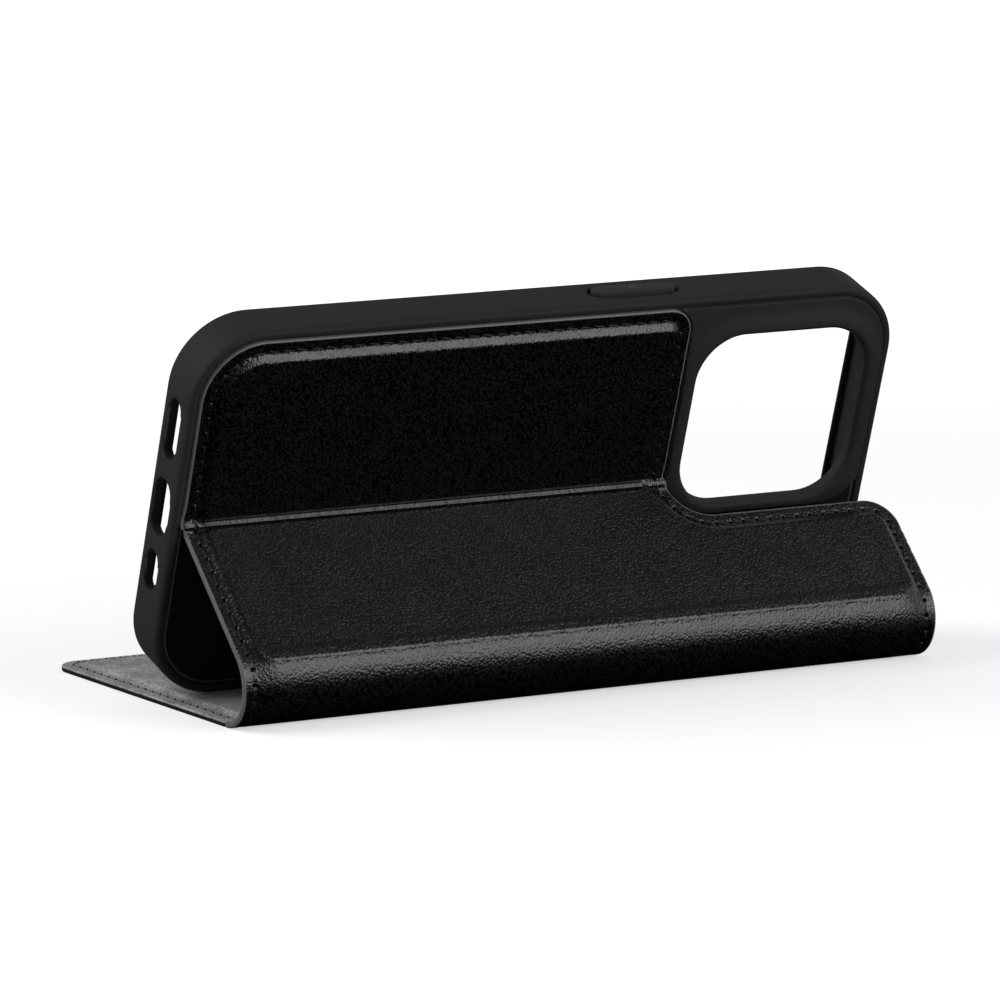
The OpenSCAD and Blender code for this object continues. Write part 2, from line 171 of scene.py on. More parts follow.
def filletLoop(corners, step, arcStep=0.9):
    # closed outline from corners (x, y, radius), counter-clockwise, with straight stretches divided
    places = [np.array(corner[:2], float) for corner in corners]
    arcs = []
    for i, here in enumerate(places):
        before, after = here - places[i - 1], places[(i + 1) % len(places)] - here
        before, after = before / np.linalg.norm(before), after / np.linalg.norm(after)
        turn = math.atan2(before[0] * after[1] - before[1] * after[0], float(before @ after))
        radius = corners[i][2]
        if radius <= 0 or abs(turn) < 1e-4:
            arcs.append([here])
            continue
        side = np.array([-before[1], before[0]]) * math.copysign(1, turn)
        centre = here - before * radius * math.tan(abs(turn) / 2) + side * radius
        steps = max(4, math.ceil(radius * abs(turn) / arcStep))
        turns = turn * np.arange(steps + 1) / steps
        x, y = -side * radius
        arcs.append(list(centre + np.column_stack([x * np.cos(turns) - y * np.sin(turns),
            x * np.sin(turns) + y * np.cos(turns)])))
    points = []
    for arc, following in zip(arcs, arcs[1:] + arcs[:1]):
        points.extend(arc)
        start, end = arc[-1], following[0]
        pieces = max(1, round(float(np.linalg.norm(end - start)) / step))
        points.extend(start + (end - start) * k / pieces for k in range(1, pieces))
    return np.array(points)


def distanceTo(path, points, closed=True):
    start = path if closed else path[:-1]
    end = np.roll(path, -1, axis=0) if closed else path[1:]
    along = end - start
    length = np.maximum((along ** 2).sum(1), 1e-12)
    best = np.full(len(points), 1e9)
    for a, d, n in zip(start, along, length):
        t = np.clip((points - a) @ d / n, 0, 1)
        gap = points - a - t[:, None] * d
        best = np.minimum(best, (gap ** 2).sum(1))
    return np.sqrt(best)


def inside(loop, points):
    x, y = points[:, 0], points[:, 1]
    odd = np.zeros(len(points), bool)
    for (x0, y0), (x1, y1) in zip(loop, np.roll(loop, -1, axis=0)):
        if y0 != y1:
            odd ^= ((y0 > y) != (y1 > y)) & (x < (x1 - x0) * (y - y0) / (y1 - y0) + x0)
    return odd


def insetRings(path, insets, closed=True, side=1):
    # copies of a path, moved to its left by each inset, without the points that corners swallow
    forward = np.roll(path, -1, axis=0) - path
    backward = path - np.roll(path, 1, axis=0)
    if not closed:
        forward[-1], backward[0] = forward[-2], backward[1]
    along = unit(unit(forward) + unit(backward))
    left = np.column_stack([-along[:, 1], along[:, 0]]) * side
    rings = [path + left * inset for inset in insets]
    clear = [distanceTo(path, ring, closed) > inset - 0.02 for ring, inset in zip(rings, insets)]
    return np.vstack([ring[keep] for ring, keep in zip(rings, clear)])


def spreadOut(points, apart):
    # drops points that lie closer to an earlier one than apart
    kept, cells = [], {}
    for p in points:
        column, row = int(p[0] // apart), int(p[1] // apart)
        near = [q for i in (-1, 0, 1) for j in (-1, 0, 1) for q in cells.get((column + i, row + j), [])]
        if all((p[0] - q[0]) ** 2 + (p[1] - q[1]) ** 2 > apart * apart for q in near):
            cells.setdefault((column, row), []).append(p)
            kept.append(p)
    return np.array(kept)


def crossed(xs, ys):
    return np.array([(x, y) for y in ys for x in xs])


def gridPoints(low, high, stepX, stepY):
    xs, ys = (np.arange(low[k] + step / 2, high[k], step) for k, step in enumerate((stepX, stepY)))
    return crossed(xs, ys)


def turned(a, b, c):
    # twice the area of triangles, positive where they turn left
    return (b[:, 0] - a[:, 0]) * (c[:, 1] - a[:, 1]) - (b[:, 1] - a[:, 1]) * (c[:, 0] - a[:, 0])


def patch(loops, inner=(), clear=0.12):
    # triangles between an outline and its holes, through the inner points; loops keep their places
    outer, holes = loops[0], loops[1:]
    points = np.vstack(loops)
    if len(inner):
        keep = inside(outer, inner) & (distanceTo(outer, inner) > clear)
        for hole in holes:
            keep &= ~inside(hole, inner) & (distanceTo(hole, inner) > clear)
        points = np.vstack([points, spreadOut(inner[keep], clear)])
    edges, first = [], 0
    for loop in loops:
        n = len(loop)
        edges += [(first + k, first + (k + 1) % n) for k in range(n)]
        first += n
    found = delaunay_2d_cdt([Vector(p) for p in points], edges, [], 0, 1e-6)
    places = np.array([tuple(v) for v in found[0]])
    faces = np.array([f for f in found[2] if len(f) == 3])
    middle = places[faces].mean(axis=1)
    keep = inside(outer, middle)
    for hole in holes:
        keep &= ~inside(hole, middle)
    faces = faces[keep]
    area = turned(*(places[faces[:, k]] for k in range(3)))
    faces[area < 0] = faces[area < 0][:, ::-1]
    return places, faces[np.abs(area) > 1e-7]


def roundDrop(distance, radius):
    # how far a rounded edge falls away at a distance from the edge
    d = np.clip(distance, 0, radius)
    return radius - np.sqrt(np.maximum(radius ** 2 - (radius - d) ** 2, 0))


class MeshParts:
    # gathers vertices, faces, material numbers and the run of the leather, and makes one mesh object
    def __init__(self):
        self.points, self.faces, self.finishes, self.runs = [], [], [], []

    def add(self, points, faces, finish=0, runs=None):
        first = sum(len(p) for p in self.points)
        self.points.append(np.asarray(points, float))
        self.runs.append(np.zeros((len(points), 2)) if runs is None else runs)
        self.faces += [tuple(int(k) + first for k in f) for f in faces]
        self.finishes += [int(k) for k in np.zeros(len(faces)) + finish]

    def band(self, one, other, finish=0, runs=None, closed=True):
        # quads between two rows of points
        n = len(one)
        faces = [(k, (k + 1) % n, n + (k + 1) % n, n + k) for k in range(n if closed else n - 1)]
        self.add(np.vstack([one, other]), faces, finish, None if runs is None else np.vstack([runs, runs]))

    def build(self, name, materials, sharpAngle):
        mesh = bpy.data.meshes.new(name)
        mesh.from_pydata([tuple(p) for p in np.vstack(self.points) * mm], [], self.faces)
        mesh.polygons.foreach_set("material_index", self.finishes)
        run = mesh.uv_layers.new(name="leatherRun")
        corner = np.zeros(len(mesh.loops), int)
        mesh.loops.foreach_get("vertex_index", corner)
        run.data.foreach_set("uv", (np.vstack(self.runs)[corner] * mm * 100).astype(np.float32).ravel())
        work = bmesh.new()
        work.from_mesh(mesh)
        bmesh.ops.remove_doubles(work, verts=work.verts, dist=2e-6)
        bmesh.ops.dissolve_degenerate(work, edges=work.edges, dist=1e-7)
        bmesh.ops.recalc_face_normals(work, faces=work.faces)
        work.to_mesh(mesh)
        work.free()
        for polygon in mesh.polygons:
            polygon.use_smooth = True
        mesh.set_sharp_from_angle(angle=math.radians(sharpAngle))
        return inScene(name, mesh, materials)


def inScene(name, data, materials=()):
    piece = bpy.data.objects.new(name, data)
    bpy.context.scene.collection.objects.link(piece)
    for material in materials:
        data.materials.append(material)
    return piece


def declare(piece, body, nodes, slotName, blendTo=None, start=None, end=None):
    # the body that a piece moves with, and the CAD nodes it stands for, which it hides; a piece given two bodies
    # to bend between is only fixed where it stands
    if blendTo:
        # the bend's ends lose their part along x, since the crease runs straight along it; no bend is made from
        # them
        start, end = start * [0, mm, mm], end * [0, mm, mm]
        tuple(start)
        tuple(end)
        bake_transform(piece)
    else:
        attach(piece, body)
    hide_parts(*nodes)


# Node trees: each input takes a plain value or another node's socket
def addNode(tree, kind, values=None, **settings):
    node = tree.nodes.new(kind)
    for key, value in settings.items():
        setattr(node, key, value)
    for key, value in (values or {}).items():
        if isinstance(value, bpy.types.NodeSocket):
            tree.links.new(value, node.inputs[key])
        else:
            node.inputs[key].default_value = value
    return node


def mathNode(tree, operation, one, other):
    return addNode(tree, "ShaderNodeMath", {0: one, 1: other}, operation=operation).outputs[0]


def ranged(tree, value, low, high, start=0.0, end=1.0, **settings):
    limits = {"Value": value, "From Min": low, "From Max": high, "To Min": start, "To Max": end}
    return addNode(tree, "ShaderNodeMapRange", limits, **settings).outputs[0]


def newGroup(name, kind, inputs, outputs):
    group = bpy.data.node_groups.new(name, kind)
    for label, socketKind, value in inputs:
        socket = group.interface.new_socket(name=label, in_out="INPUT", socket_type="NodeSocket" + socketKind)
        if value is not None:
            socket.default_value = value
    for label, socketKind in outputs:
        group.interface.new_socket(name=label, in_out="OUTPUT", socket_type="NodeSocket" + socketKind)
    start, end = group.nodes.new("NodeGroupInput").outputs, group.nodes.new("NodeGroupOutput").inputs
    return group, start, end


def pebbleGrainGroup():
    # leather grain: small pebbles with creased valleys, and a slow drift in their size
    group, start, end = newGroup("pebbleGrain", "ShaderNodeTree",
        [("Place", "Vector", None), ("Pebbles", "Float", 13.0), ("Waviness", "Float", 0.011)],
        [("Height", "Float"), ("Valleys", "Float"), ("Drift", "Float")])
    place = start["Place"]
    stir = addNode(group, "ShaderNodeTexNoise", {"Vector": place, "Scale": 9.0, "Detail": 2.0})
    scaled = addNode(group, "ShaderNodeCombineXYZ", {axis: start["Waviness"] for axis in range(3)})
    shifted = addNode(group, "ShaderNodeVectorMath",
        {0: stir.outputs["Color"], 1: scaled.outputs[0], 2: place}, operation="MULTIPLY_ADD")
    cells = addNode(group, "ShaderNodeTexVoronoi", {"Vector": shifted.outputs[0], "Scale": start["Pebbles"],
        "Smoothness": 0.2}, feature="SMOOTH_F1")
    fine = addNode(group, "ShaderNodeTexNoise", {"Vector": place, "Detail": 3.0, "Roughness": 0.6,
        "Scale": mathNode(group, "MULTIPLY", start["Pebbles"], 1.2)})
    slow = addNode(group, "ShaderNodeTexNoise", {"Vector": place, "Scale": 1.3, "Detail": 2.0})
    domes = mathNode(group, "SUBTRACT", 1.0, cells.outputs["Distance"])
    height = mathNode(group, "ADD", domes, mathNode(group, "MULTIPLY", fine.outputs["Fac"], 0.4))
    group.links.new(height, end["Height"])
    group.links.new(ranged(group, cells.outputs["Distance"], 0.28, 0.62), end["Valleys"])
    group.links.new(slow.outputs["Fac"], end["Drift"])
    return group


def speckleGroup():
    # short brushed fibres: fine light and dark specks over a slow mottling
    group, start, end = newGroup("fibreSpeckle", "ShaderNodeTree",
        [("Place", "Vector", None), ("Fibres", "Float", 2600.0), ("Clouds", "Float", 160.0)],
        [("Specks", "Float"), ("Mottle", "Float")])
    for scale, output, detail, rough in (("Fibres", "Specks", 4.0, 0.7), ("Clouds", "Mottle", 3.0, 0.55)):
        noise = addNode(group, "ShaderNodeTexNoise", {"Vector": start["Place"], "Scale": start[scale],
            "Detail": detail, "Roughness": rough})
        group.links.new(noise.outputs["Fac"], end[output])
    return group


pebbleGrain = pebbleGrainGroup()
fibreSpeckle = speckleGroup()


def newMaterial(name, roughness, specular, sheen=0.0):
    material = bpy.data.materials.new(name)
    material.use_nodes = True
    tree = material.node_tree
    shader = tree.nodes["Principled BSDF"]
    shader.inputs["Roughness"].default_value = roughness
    shader.inputs["Specular IOR Level"].default_value = specular
    shader.inputs["Sheen Weight"].default_value = sheen
    return material, tree, shader


def finish(tree, shader, mask, stops, height, depth, gloss=None):
    # colour from a mask through a ramp, bump of a depth in millimetres, and a slow change of gloss
    ramp = addNode(tree, "ShaderNodeValToRGB", {"Fac": mask})
    for element, (place, colour) in zip(ramp.color_ramp.elements, stops):
        element.position = place
        element.color = (*colour, 1)
    tree.links.new(ramp.outputs["Color"], shader.inputs["Base Color"])
    bump = addNode(tree, "ShaderNodeBump", {"Strength": 1.0, "Distance": depth * mm, "Height": height})
    tree.links.new(bump.outputs["Normal"], shader.inputs["Normal"])
    if gloss:
        value, low, high = gloss
        rough = shader.inputs["Roughness"].default_value
        tree.links.new(ranged(tree, value, 0.0, 1.0, rough + low, rough + high), shader.inputs["Roughness"])


def leatherMaterial(name, dark, light, rough, specular, depth, pebbles):
    material, tree, shader = newMaterial(name, rough, specular)
    run = addNode(tree, "ShaderNodeUVMap", uv_map="leatherRun")
    grain = addNode(tree, "ShaderNodeGroup", node_tree=pebbleGrain)
    grain.inputs["Pebbles"].default_value = pebbles
    tree.links.new(run.outputs["UV"], grain.inputs["Place"])
    stops = [(0.0, light), (1.0, dark)]
    finish(tree, shader, grain.outputs["Valleys"], stops, grain.outputs["Height"], depth,
        (grain.outputs["Drift"], -0.06, 0.08))
    return material


def speckled(tree, fibres, clouds=160.0):
    place = addNode(tree, "ShaderNodeTexCoord")
    nap = addNode(tree, "ShaderNodeGroup", node_tree=fibreSpeckle)
    nap.inputs["Fibres"].default_value = fibres
    nap.inputs["Clouds"].default_value = clouds
    tree.links.new(place.outputs["Object"], nap.inputs["Place"])
    return nap.outputs


def fabricMaterial(name, stops, sheen, depth, fibres=2600.0):
    material, tree, shader = newMaterial(name, 0.9, 0.2, sheen)
    shader.inputs["Sheen Roughness"].default_value = 0.5
    nap = speckled(tree, fibres)
    mixed = mathNode(tree, "ADD", mathNode(tree, "MULTIPLY", nap["Specks"], 0.7),
        mathNode(tree, "MULTIPLY", nap["Mottle"], 0.3))
    finish(tree, shader, mixed, stops, nap["Specks"], depth)
    return material


def mouldedMaterial(name, colour, rough, specular, depth=0.02, scale=1500.0):
    # satin moulded rubber and plain plastics: faint spark-erosion texture and a slow change of gloss
    material, tree, shader = newMaterial(name, rough, specular)
    texture = speckled(tree, scale, 60.0)
    darker = tuple(0.8 * c for c in colour)
    finish(tree, shader, texture["Mottle"], [(0.3, darker), (0.7, colour)], texture["Specks"], depth,
        (texture["Mottle"], -0.05, 0.07))
    return material


def threadMaterial(name, colour):
    # waxed thread: fine plies wound along it
    material, tree, shader = newMaterial(name, 0.4, 0.5)
    place = addNode(tree, "ShaderNodeTexCoord")
    plies = addNode(tree, "ShaderNodeTexWave", {"Vector": place.outputs["Object"], "Scale": 900.0,
        "Distortion": 2.0}, bands_direction="DIAGONAL")
    lighter = tuple(1.8 * c for c in colour)
    finish(tree, shader, plies.outputs["Fac"], [(0.2, colour), (0.9, lighter)], plies.outputs["Fac"], 0.03)
    return material


leather = leatherMaterial("pebbledLeather", (0.0002, 0.0002, 0.0002), (0.0098, 0.0092, 0.0094),
    0.28, 0.68, 0.075, 21.0)
leafLeather = leatherMaterial("splitLeather", (0.004, 0.004, 0.004), (0.009, 0.0085, 0.0085),
    0.55, 0.3, 0.05, 20.0)
# one grey edge paint in two copies: the first is its grey raised as painted light where the flap's and panel's
# edges catch the light, the second is painted shade on the cover's edges
litEdgePaint = mouldedMaterial("litEdgePaint", (0.15, 0.147, 0.145), 0.42, 0.7, 0.03, 700.0)
shadedEdgePaint = mouldedMaterial("shadedEdgePaint", (0.007, 0.0066, 0.0064), 0.6, 0.25, 0.03, 700.0)
greyNap = fabricMaterial("greyNap", [(0.42, (0.25, 0.244, 0.237)), (0.58, (0.6, 0.59, 0.573))],
    0.1, 0.1, 1900.0)
blackNap = fabricMaterial("blackNap", [(0.3, (0.0015, 0.0015, 0.0016)), (0.7, (0.004, 0.004, 0.0042))],
    0.02, 0.05)
pocketNap = fabricMaterial("pocketNap", [(0.3, (0.018, 0.018, 0.019)), (0.7, (0.04, 0.04, 0.042))],
    0.1, 0.05)
shellRubber = mouldedMaterial("shellRubber", (0.0225, 0.022, 0.0235), 0.7, 0.3)
# the shell's own rubber again, made darker for the recess under the flap: painted shade
shadedRecessRubber = mouldedMaterial("shadedRecessRubber", (0.005, 0.0048, 0.0055), 0.75, 0.2)
# the shell's own rubber again, made lighter for the bead along the rim's inner edge: a painted highlight
highlightBeadRubber = mouldedMaterial("highlightBeadRubber", (0.07, 0.068, 0.072), 0.6, 0.4)
keyRubber = mouldedMaterial("keyRubber", (0.026, 0.0255, 0.027), 0.62, 0.4)
markGrey = mouldedMaterial("markGrey", (0.09, 0.09, 0.09), 0.5, 0.4)
pressBoard = mouldedMaterial("pressBoard", (0.02, 0.0195, 0.019), 0.85, 0.25, 0.05, 400.0)
bondFilm = mouldedMaterial("bondFilm", (0.4, 0.4, 0.36), 0.5, 0.4)
blackThread = threadMaterial("blackThread", (0.006, 0.006, 0.006))
liningThread = threadMaterial("liningThread", (0.12, 0.117, 0.113))
print("materials made")


# Soft shell round the phone
cameraWindow = {
    "length": 37.8, "width": 36.0, "corner": 9.5, "fromEnd": 24.5, "fromSide": 26.2,
    "edgeLevel": 0.35, "crest": 1.2, "crestFrom": 0.9, "crestTo": 1.2, "slope": 3.6,
    "fieldLevel": 0.3, "fieldBelow": 2.2, "fieldCorner": 9.0, "panelGap": 0.1,
}
wallSlots = {
    "portLength": 11.6, "portHeight": 6.2, "speakerLength": 12.3, "micLength": 8.2, "height": 4.4,
    "speakerOffset": 16.1, "micOffset": 13.2, "switchLength": 10.0, "switchFromEnd": 32.2, "lipRound": 0.35,
}
wallKeys = {
    "sideLength": 18.0, "volumeLength": 10.4, "width": 3.4, "rise": 0.58, "sideGap": 0.2, "endGap": 0.7,
    "flange": 0.8, "flangeThick": 0.5, "flangeTop": -1.0, "flangePlay": 0.05, "edgeRound": 0.12,
    "crown": 0.06, "sideFromEnd": 57.2, "volumeFromEnd": 45.8, "volumePitch": 14.5,
}
windowX = caseShell["length"] / 2 - cameraWindow["fromEnd"]
windowY = caseShell["width"] - cameraWindow["fromSide"]
wallLevel = -(caseShell["depth"] - caseShell["lipThick"] + caseShell["back"] + caseShell["lining"]) / 2


def shellStations(inset):
    # points round the shell and the ends of its straights, at the same numbers for every inset
    length, width, corner = caseShell["length"], caseShell["width"], caseShell["corner"]
    steps, radius = caseShell["cornerSteps"], corner - inset
    points, straights = [], []
    centres = np.array([(length / 2 - corner, corner), (length / 2 - corner, width - corner),
        (-length / 2 + corner, width - corner), (-length / 2 + corner, corner)])
    for k, centre in enumerate(centres):
        turns = math.pi / 2 * (k - 1 + np.arange(steps + 1) / steps)
        points += list(centre + radius * np.column_stack([np.cos(turns), np.sin(turns)]))
        a = math.pi / 2 * k
        shift = np.array([math.cos(a), math.sin(a)]) * radius
        start, end = centre + shift, centres[(k + 1) % 4] + shift
        pieces = round(float(np.linalg.norm(end - start)) / caseShell["stationStep"])
        first = len(points) - 1
        points += [start + (end - start) * i / pieces for i in range(1, pieces)]
        straights.append((first, first + pieces))
    return np.array(points), straights


def shellRow(inset, level):
    return shellPoint(shellStations(inset)[0], level)


def rimProfile():
    # (inset, level) from the recess, over the rim's nearly flat top and its rounded shoulder, down the side
    w = caseShell["rimWidth"]
    return [(w, -0.62), (w, -0.5), (w - 0.03, -0.4), (w - 0.1, -0.31), (w - 0.22, -0.24), (w - 0.45, -0.15),
        (w - 0.75, -0.07), (0.82, -0.03), (0.66, -0.05), (0.5, -0.13), (0.34, -0.27), (0.21, -0.47),
        (0.11, -0.73), (0.045, -1.05), (0.012, -1.45), (0.0, -caseShell["rimFall"])]


def lipProfile():
    # (inset, level) from the side, round the screen's edge and over the lip into the pocket
    s = caseShell
    front, inner, radius = -s["depth"], s["wall"] + s["lipReach"], s["screenRound"]
    turns = math.pi / 2 * np.arange(7) / 6
    rows = [(radius * (1 - math.cos(a)), front + radius * (1 - math.sin(a))) for a in turns]
    back = front + s["lipThick"]
    return rows + [(inner - 0.3, front), (inner - 0.09, front + 0.09), (inner, front + 0.3),
        (inner, back - 0.15), (inner - 0.15, back), (s["wall"], back)]


def slotLoop(x, length, width, steps=10):
    # a long hole with round ends, half-way up a side wall
    turns = math.pi * (np.arange(steps + 1) / steps - 0.5)
    right = np.column_stack([(length - width) / 2 + width / 2 * np.cos(turns), width / 2 * np.sin(turns)])
    return np.vstack([right, -right]) + [x, wallLevel]


def wallOpenings():
    # openings of each straight wall: (place along it, outer size, inner size, depth of the step)
    s, k = wallSlots, wallKeys
    half, middle = caseShell["length"] / 2, caseShell["width"] / 2

    def slot(place, length, height=s["height"]):
        return place, (length, height), (length, height), 1.0

    def keyHole(fromEnd, length):
        size = np.array([length + 2 * k["endGap"], k["width"] + 2 * k["sideGap"]])
        return half - fromEnd, size, size + 2 * k["flange"], -k["flangeTop"] - k["flangePlay"]

    return {
        1: [keyHole(k["sideFromEnd"], k["sideLength"])],
        2: [slot(middle, s["portLength"], s["portHeight"]),
            slot(middle + s["speakerOffset"], s["speakerLength"]),
            slot(middle - s["micOffset"], s["micLength"])],
        3: [slot(half - s["switchFromEnd"], s["switchLength"]),
            keyHole(k["volumeFromEnd"], k["volumeLength"]),
            keyHole(k["volumeFromEnd"] + k["volumePitch"], k["volumeLength"])],
    }


def wallPoint(wall, points, inset):
    # wall 0 is the camera end, 1 the top side, 2 the port end and 3 the foot side
    along, level = points[:, 0], points[:, 1]
    inset = np.zeros(len(points)) + inset
    if wall in (0, 2):
        x = (caseShell["length"] / 2 - inset) * (1 - wall)
        return shellPoint(np.column_stack([x, along]), level)
    up = caseShell["width"] - inset if wall == 1 else inset
    return shellPoint(np.column_stack([along, up]), level)


def addTunnel(parts, wall, rows):
    # faces from row to row of (loop, inset)
    for one, other in zip(rows, rows[1:]):
        parts.band(wallPoint(wall, *one), wallPoint(wall, *other))


def addWall(parts, wall, ends, levels, inset, openings, lipRound=0):
    # one straight wall face between two levels, with its openings rounded over
    ring, _ = shellStations(0)
    numbers = [k % len(ring) for k in range(ends[0], ends[1] + 1)]
    along = ring[numbers][:, 1 if wall in (0, 2) else 0]
    outline = np.vstack([crossed(along, levels[:1]), crossed(along[::-1], levels[1:])])
    if along[-1] > along[0]:
        outline = outline[::-1]
    holes = [slotLoop(place, *size) for place, size in openings]
    inner, sink = (), 0
    if lipRound and holes:
        steps = [lipRound * t for t in (0.12, 0.3, 0.55, 0.8, 1.0)]
        inner = np.vstack([insetRings(hole, steps, side=-1) for hole in holes])
    places, faces = patch([outline, *holes], inner, 0.03)
    if lipRound and holes:
        sink = roundDrop(np.min([distanceTo(hole, places) for hole in holes], axis=0), lipRound)
    parts.add(wallPoint(wall, places, inset + sink), faces)


def windowLoop():
    w = cameraWindow
    x0, x1 = windowX - w["length"] / 2, windowX + w["length"] / 2
    y0, y1 = windowY - w["width"] / 2, windowY + w["width"] / 2
    return filletLoop([(x, y, w["corner"]) for x, y in ((x0, y0), (x1, y0), (x1, y1), (x0, y1))], 1.6)


def fieldLoop():
    # the smooth field round the window, up to the leather panel's edge and round its corner
    w, s, b = cameraWindow, caseShell, backPanel
    x0, top = b["right"] + w["panelGap"], b["top"] + w["panelGap"]
    y0 = windowY - w["width"] / 2 - w["fieldBelow"]
    x1, y1 = s["length"] / 2 - s["rimWidth"] + 0.9, s["width"] - s["rimWidth"] + 0.9
    turn = b["sideCorner"] + w["panelGap"]
    return filletLoop([(x0, y0, w["fieldCorner"]), (x1, y0, w["fieldCorner"]),
        (x1, y1, s["corner"] - s["rimWidth"]), (x0 - turn - 0.1, y1, 0), (x0 - turn - 0.1, top, 0),
        (x0, top, turn)], 1.2, 0.6)


def backLevel(points):
    # height of the shell's back inside its rim: recess, smooth field and the raised ring at the camera
    w, s = cameraWindow, caseShell
    field = fieldLoop()
    within = np.where(inside(field, points), 1, -1) * distanceTo(field, points)
    gap = distanceTo(windowLoop(), points)
    toCrest = np.sin(np.clip(gap / w["crestFrom"], 0, 1) * math.pi / 2)
    fromCrest = 0.5 + 0.5 * np.cos(np.clip((gap - w["crestTo"]) / w["slope"], 0, 1) * math.pi)
    mound = np.where(gap < w["crestFrom"], w["edgeLevel"] + (w["crest"] - w["edgeLevel"]) * toCrest,
        w["fieldLevel"] + (w["crest"] - w["fieldLevel"]) * fromCrest)
    toRim = distanceTo(shellStations(s["rimWidth"])[0], points)
    mound = mound - roundDrop(toRim, 0.45) - 0.35 * np.exp(-(toRim / 0.22) ** 2)  # it falls away at the rim
    edge = smooth((within + 0.25) / 0.5)
    bead = s["beadHeight"] * np.exp(-((toRim - s["beadInset"]) / s["beadWidth"]) ** 2)
    return -s["recess"] + bead * (1 - edge) + edge * (mound + s["recess"])


def makeShell():
    s = caseShell
    parts = MeshParts()
    rim, lip = rimProfile(), lipProfile()
    for profile in (rim, lip):
        for one, other in zip(profile, profile[1:]):
            parts.band(shellRow(*one), shellRow(*other))
    ring, straights = shellStations(0)
    outerLevels = (-s["rimFall"], -s["depth"] + s["screenRound"])
    innerLevels = (-s["back"], -s["depth"] + s["lipThick"])
    # corners of the side wall, outside and inside
    for inset, levels in ((0.0, outerLevels), (s["wall"], innerLevels)):
        top, bottom = (shellRow(inset, level) for level in levels)
        for _, start in straights:
            numbers = [k % len(ring) for k in range(start, start + s["cornerSteps"] + 1)]
            parts.band(top[numbers], bottom[numbers], closed=False)
    # straight walls with their openings, and the tunnels between the two faces
    openings, lipRound = wallOpenings(), wallSlots["lipRound"]
    for wall, ends in enumerate(straights):
        found = openings.get(wall, [])
        mouths = [(place, outer) for place, outer, inner, step in found]
        throats = [(place, inner) for place, outer, inner, step in found]
        addWall(parts, wall, ends, outerLevels, 0.0, mouths, lipRound)
        addWall(parts, wall, ends, innerLevels, s["wall"], throats)
        for place, outer, inner, step in found:
            mouth, throat = slotLoop(place, *outer), slotLoop(place, *inner)
            addTunnel(parts, wall, [(mouth, lipRound), (mouth, step), (throat, step), (throat, s["wall"])])
    # back of the shell: recess, field and raised ring, down through the window to the pocket's floor
    edge, pocket = shellStations(s["rimWidth"])[0], shellStations(s["wall"])[0]
    window, field = windowLoop(), fieldLoop()
    low, high = (-74, 2), (74, 74)
    ringSteps = [0.12, 0.3, 0.5, 0.75, 0.95, 1.2, 1.4, 1.7, 2.1, 2.6, 3.2, 3.9, 4.6, 5.5]
    rimSteps = [0.07, 0.15, 0.25, 0.34, 0.44, 0.55, 0.66, 0.77, 0.9]
    inner = np.vstack([insetRings(window, ringSteps, side=-1), insetRings(edge, rimSteps),
        insetRings(field, [0.04, 0.1, 0.18, 0.25, 0.5]), insetRings(field, [0.06, 0.14, 0.22, 0.27], side=-1),
        gridPoints(low, high, 4, 4)])
    places, faces = patch([edge, window], inner, 0.08)
    middle = places[faces].mean(axis=1)
    toRim = distanceTo(edge, middle)
    # finish 2, the lighter rubber on a band by the rim's inner edge, is a painted highlight on the bead
    besideBead = inside(field, middle) | (toRim < s["beadHighlightFrom"])
    # finish 1, the darker rubber, is painted shade over the recess inside the rim
    finishes = np.where(besideBead, 0, np.where(toRim < s["beadHighlightTo"], 2, 1))
    parts.add(shellPoint(places, backLevel(places)), faces, finishes)
    parts.band(shellPoint(edge, backLevel(edge)), shellRow(*rim[0]))
    parts.band(shellPoint(window, backLevel(window)), shellPoint(window, -s["back"]))
    places, faces = patch([pocket, window], gridPoints(low, high, 8, 8), 0.5)
    parts.add(shellPoint(places, -s["back"]), faces)
    shell = parts.build("bumperShell", [shellRubber, shadedRecessRubber, highlightBeadRubber], 34)
    declare(shell, "holder", ["bumper_shell"], "shell_rubber")


makeShell()
print("soft shell made")


# Keys, each with a flange behind the wall
powerMark = {"radius": 0.78, "stroke": 0.09, "gapTurn": 38, "proud": 0.012, "thick": 0.05, "bar": (0.1, 1.05)}


def makeKey(name, node, wall, fromEnd, length):
    k = wallKeys
    place = caseShell["length"] / 2 - fromEnd
    loop = slotLoop(place, length, k["width"], 12)
    foot = slotLoop(place, length + 2 * k["flange"], k["width"] + 2 * k["flange"], 12)
    rings = insetRings(loop, [k["edgeRound"] * t for t in (0.1, 0.28, 0.55, 0.85, 1.1)])
    half = np.array([length / 2, 1.2])
    across = gridPoints([place, wallLevel] - half, [place, wallLevel] + half, 1.0, 0.6)

    def topInset(points):
        crown = k["crown"] * ((points[:, 0] - place) / (length / 2)) ** 2
        return -(k["rise"] - roundDrop(distanceTo(loop, points), k["edgeRound"]) - crown)

    parts = MeshParts()
    places, faces = patch([loop], np.vstack([rings, across]), 0.04)
    parts.add(wallPoint(wall, places, topInset(places)), faces)
    flange, under = -k["flangeTop"], k["flangeThick"] - k["flangeTop"]
    addTunnel(parts, wall, [(loop, topInset(loop)), (loop, flange), (foot, flange), (foot, under)])
    places, faces = patch([foot])
    parts.add(wallPoint(wall, places, under), faces)
    if node == "side_button":
        addPowerMark(parts, wall, place)
    declare(parts.build(name, [keyRubber, markGrey], 34), node, [node], "key_rubber")


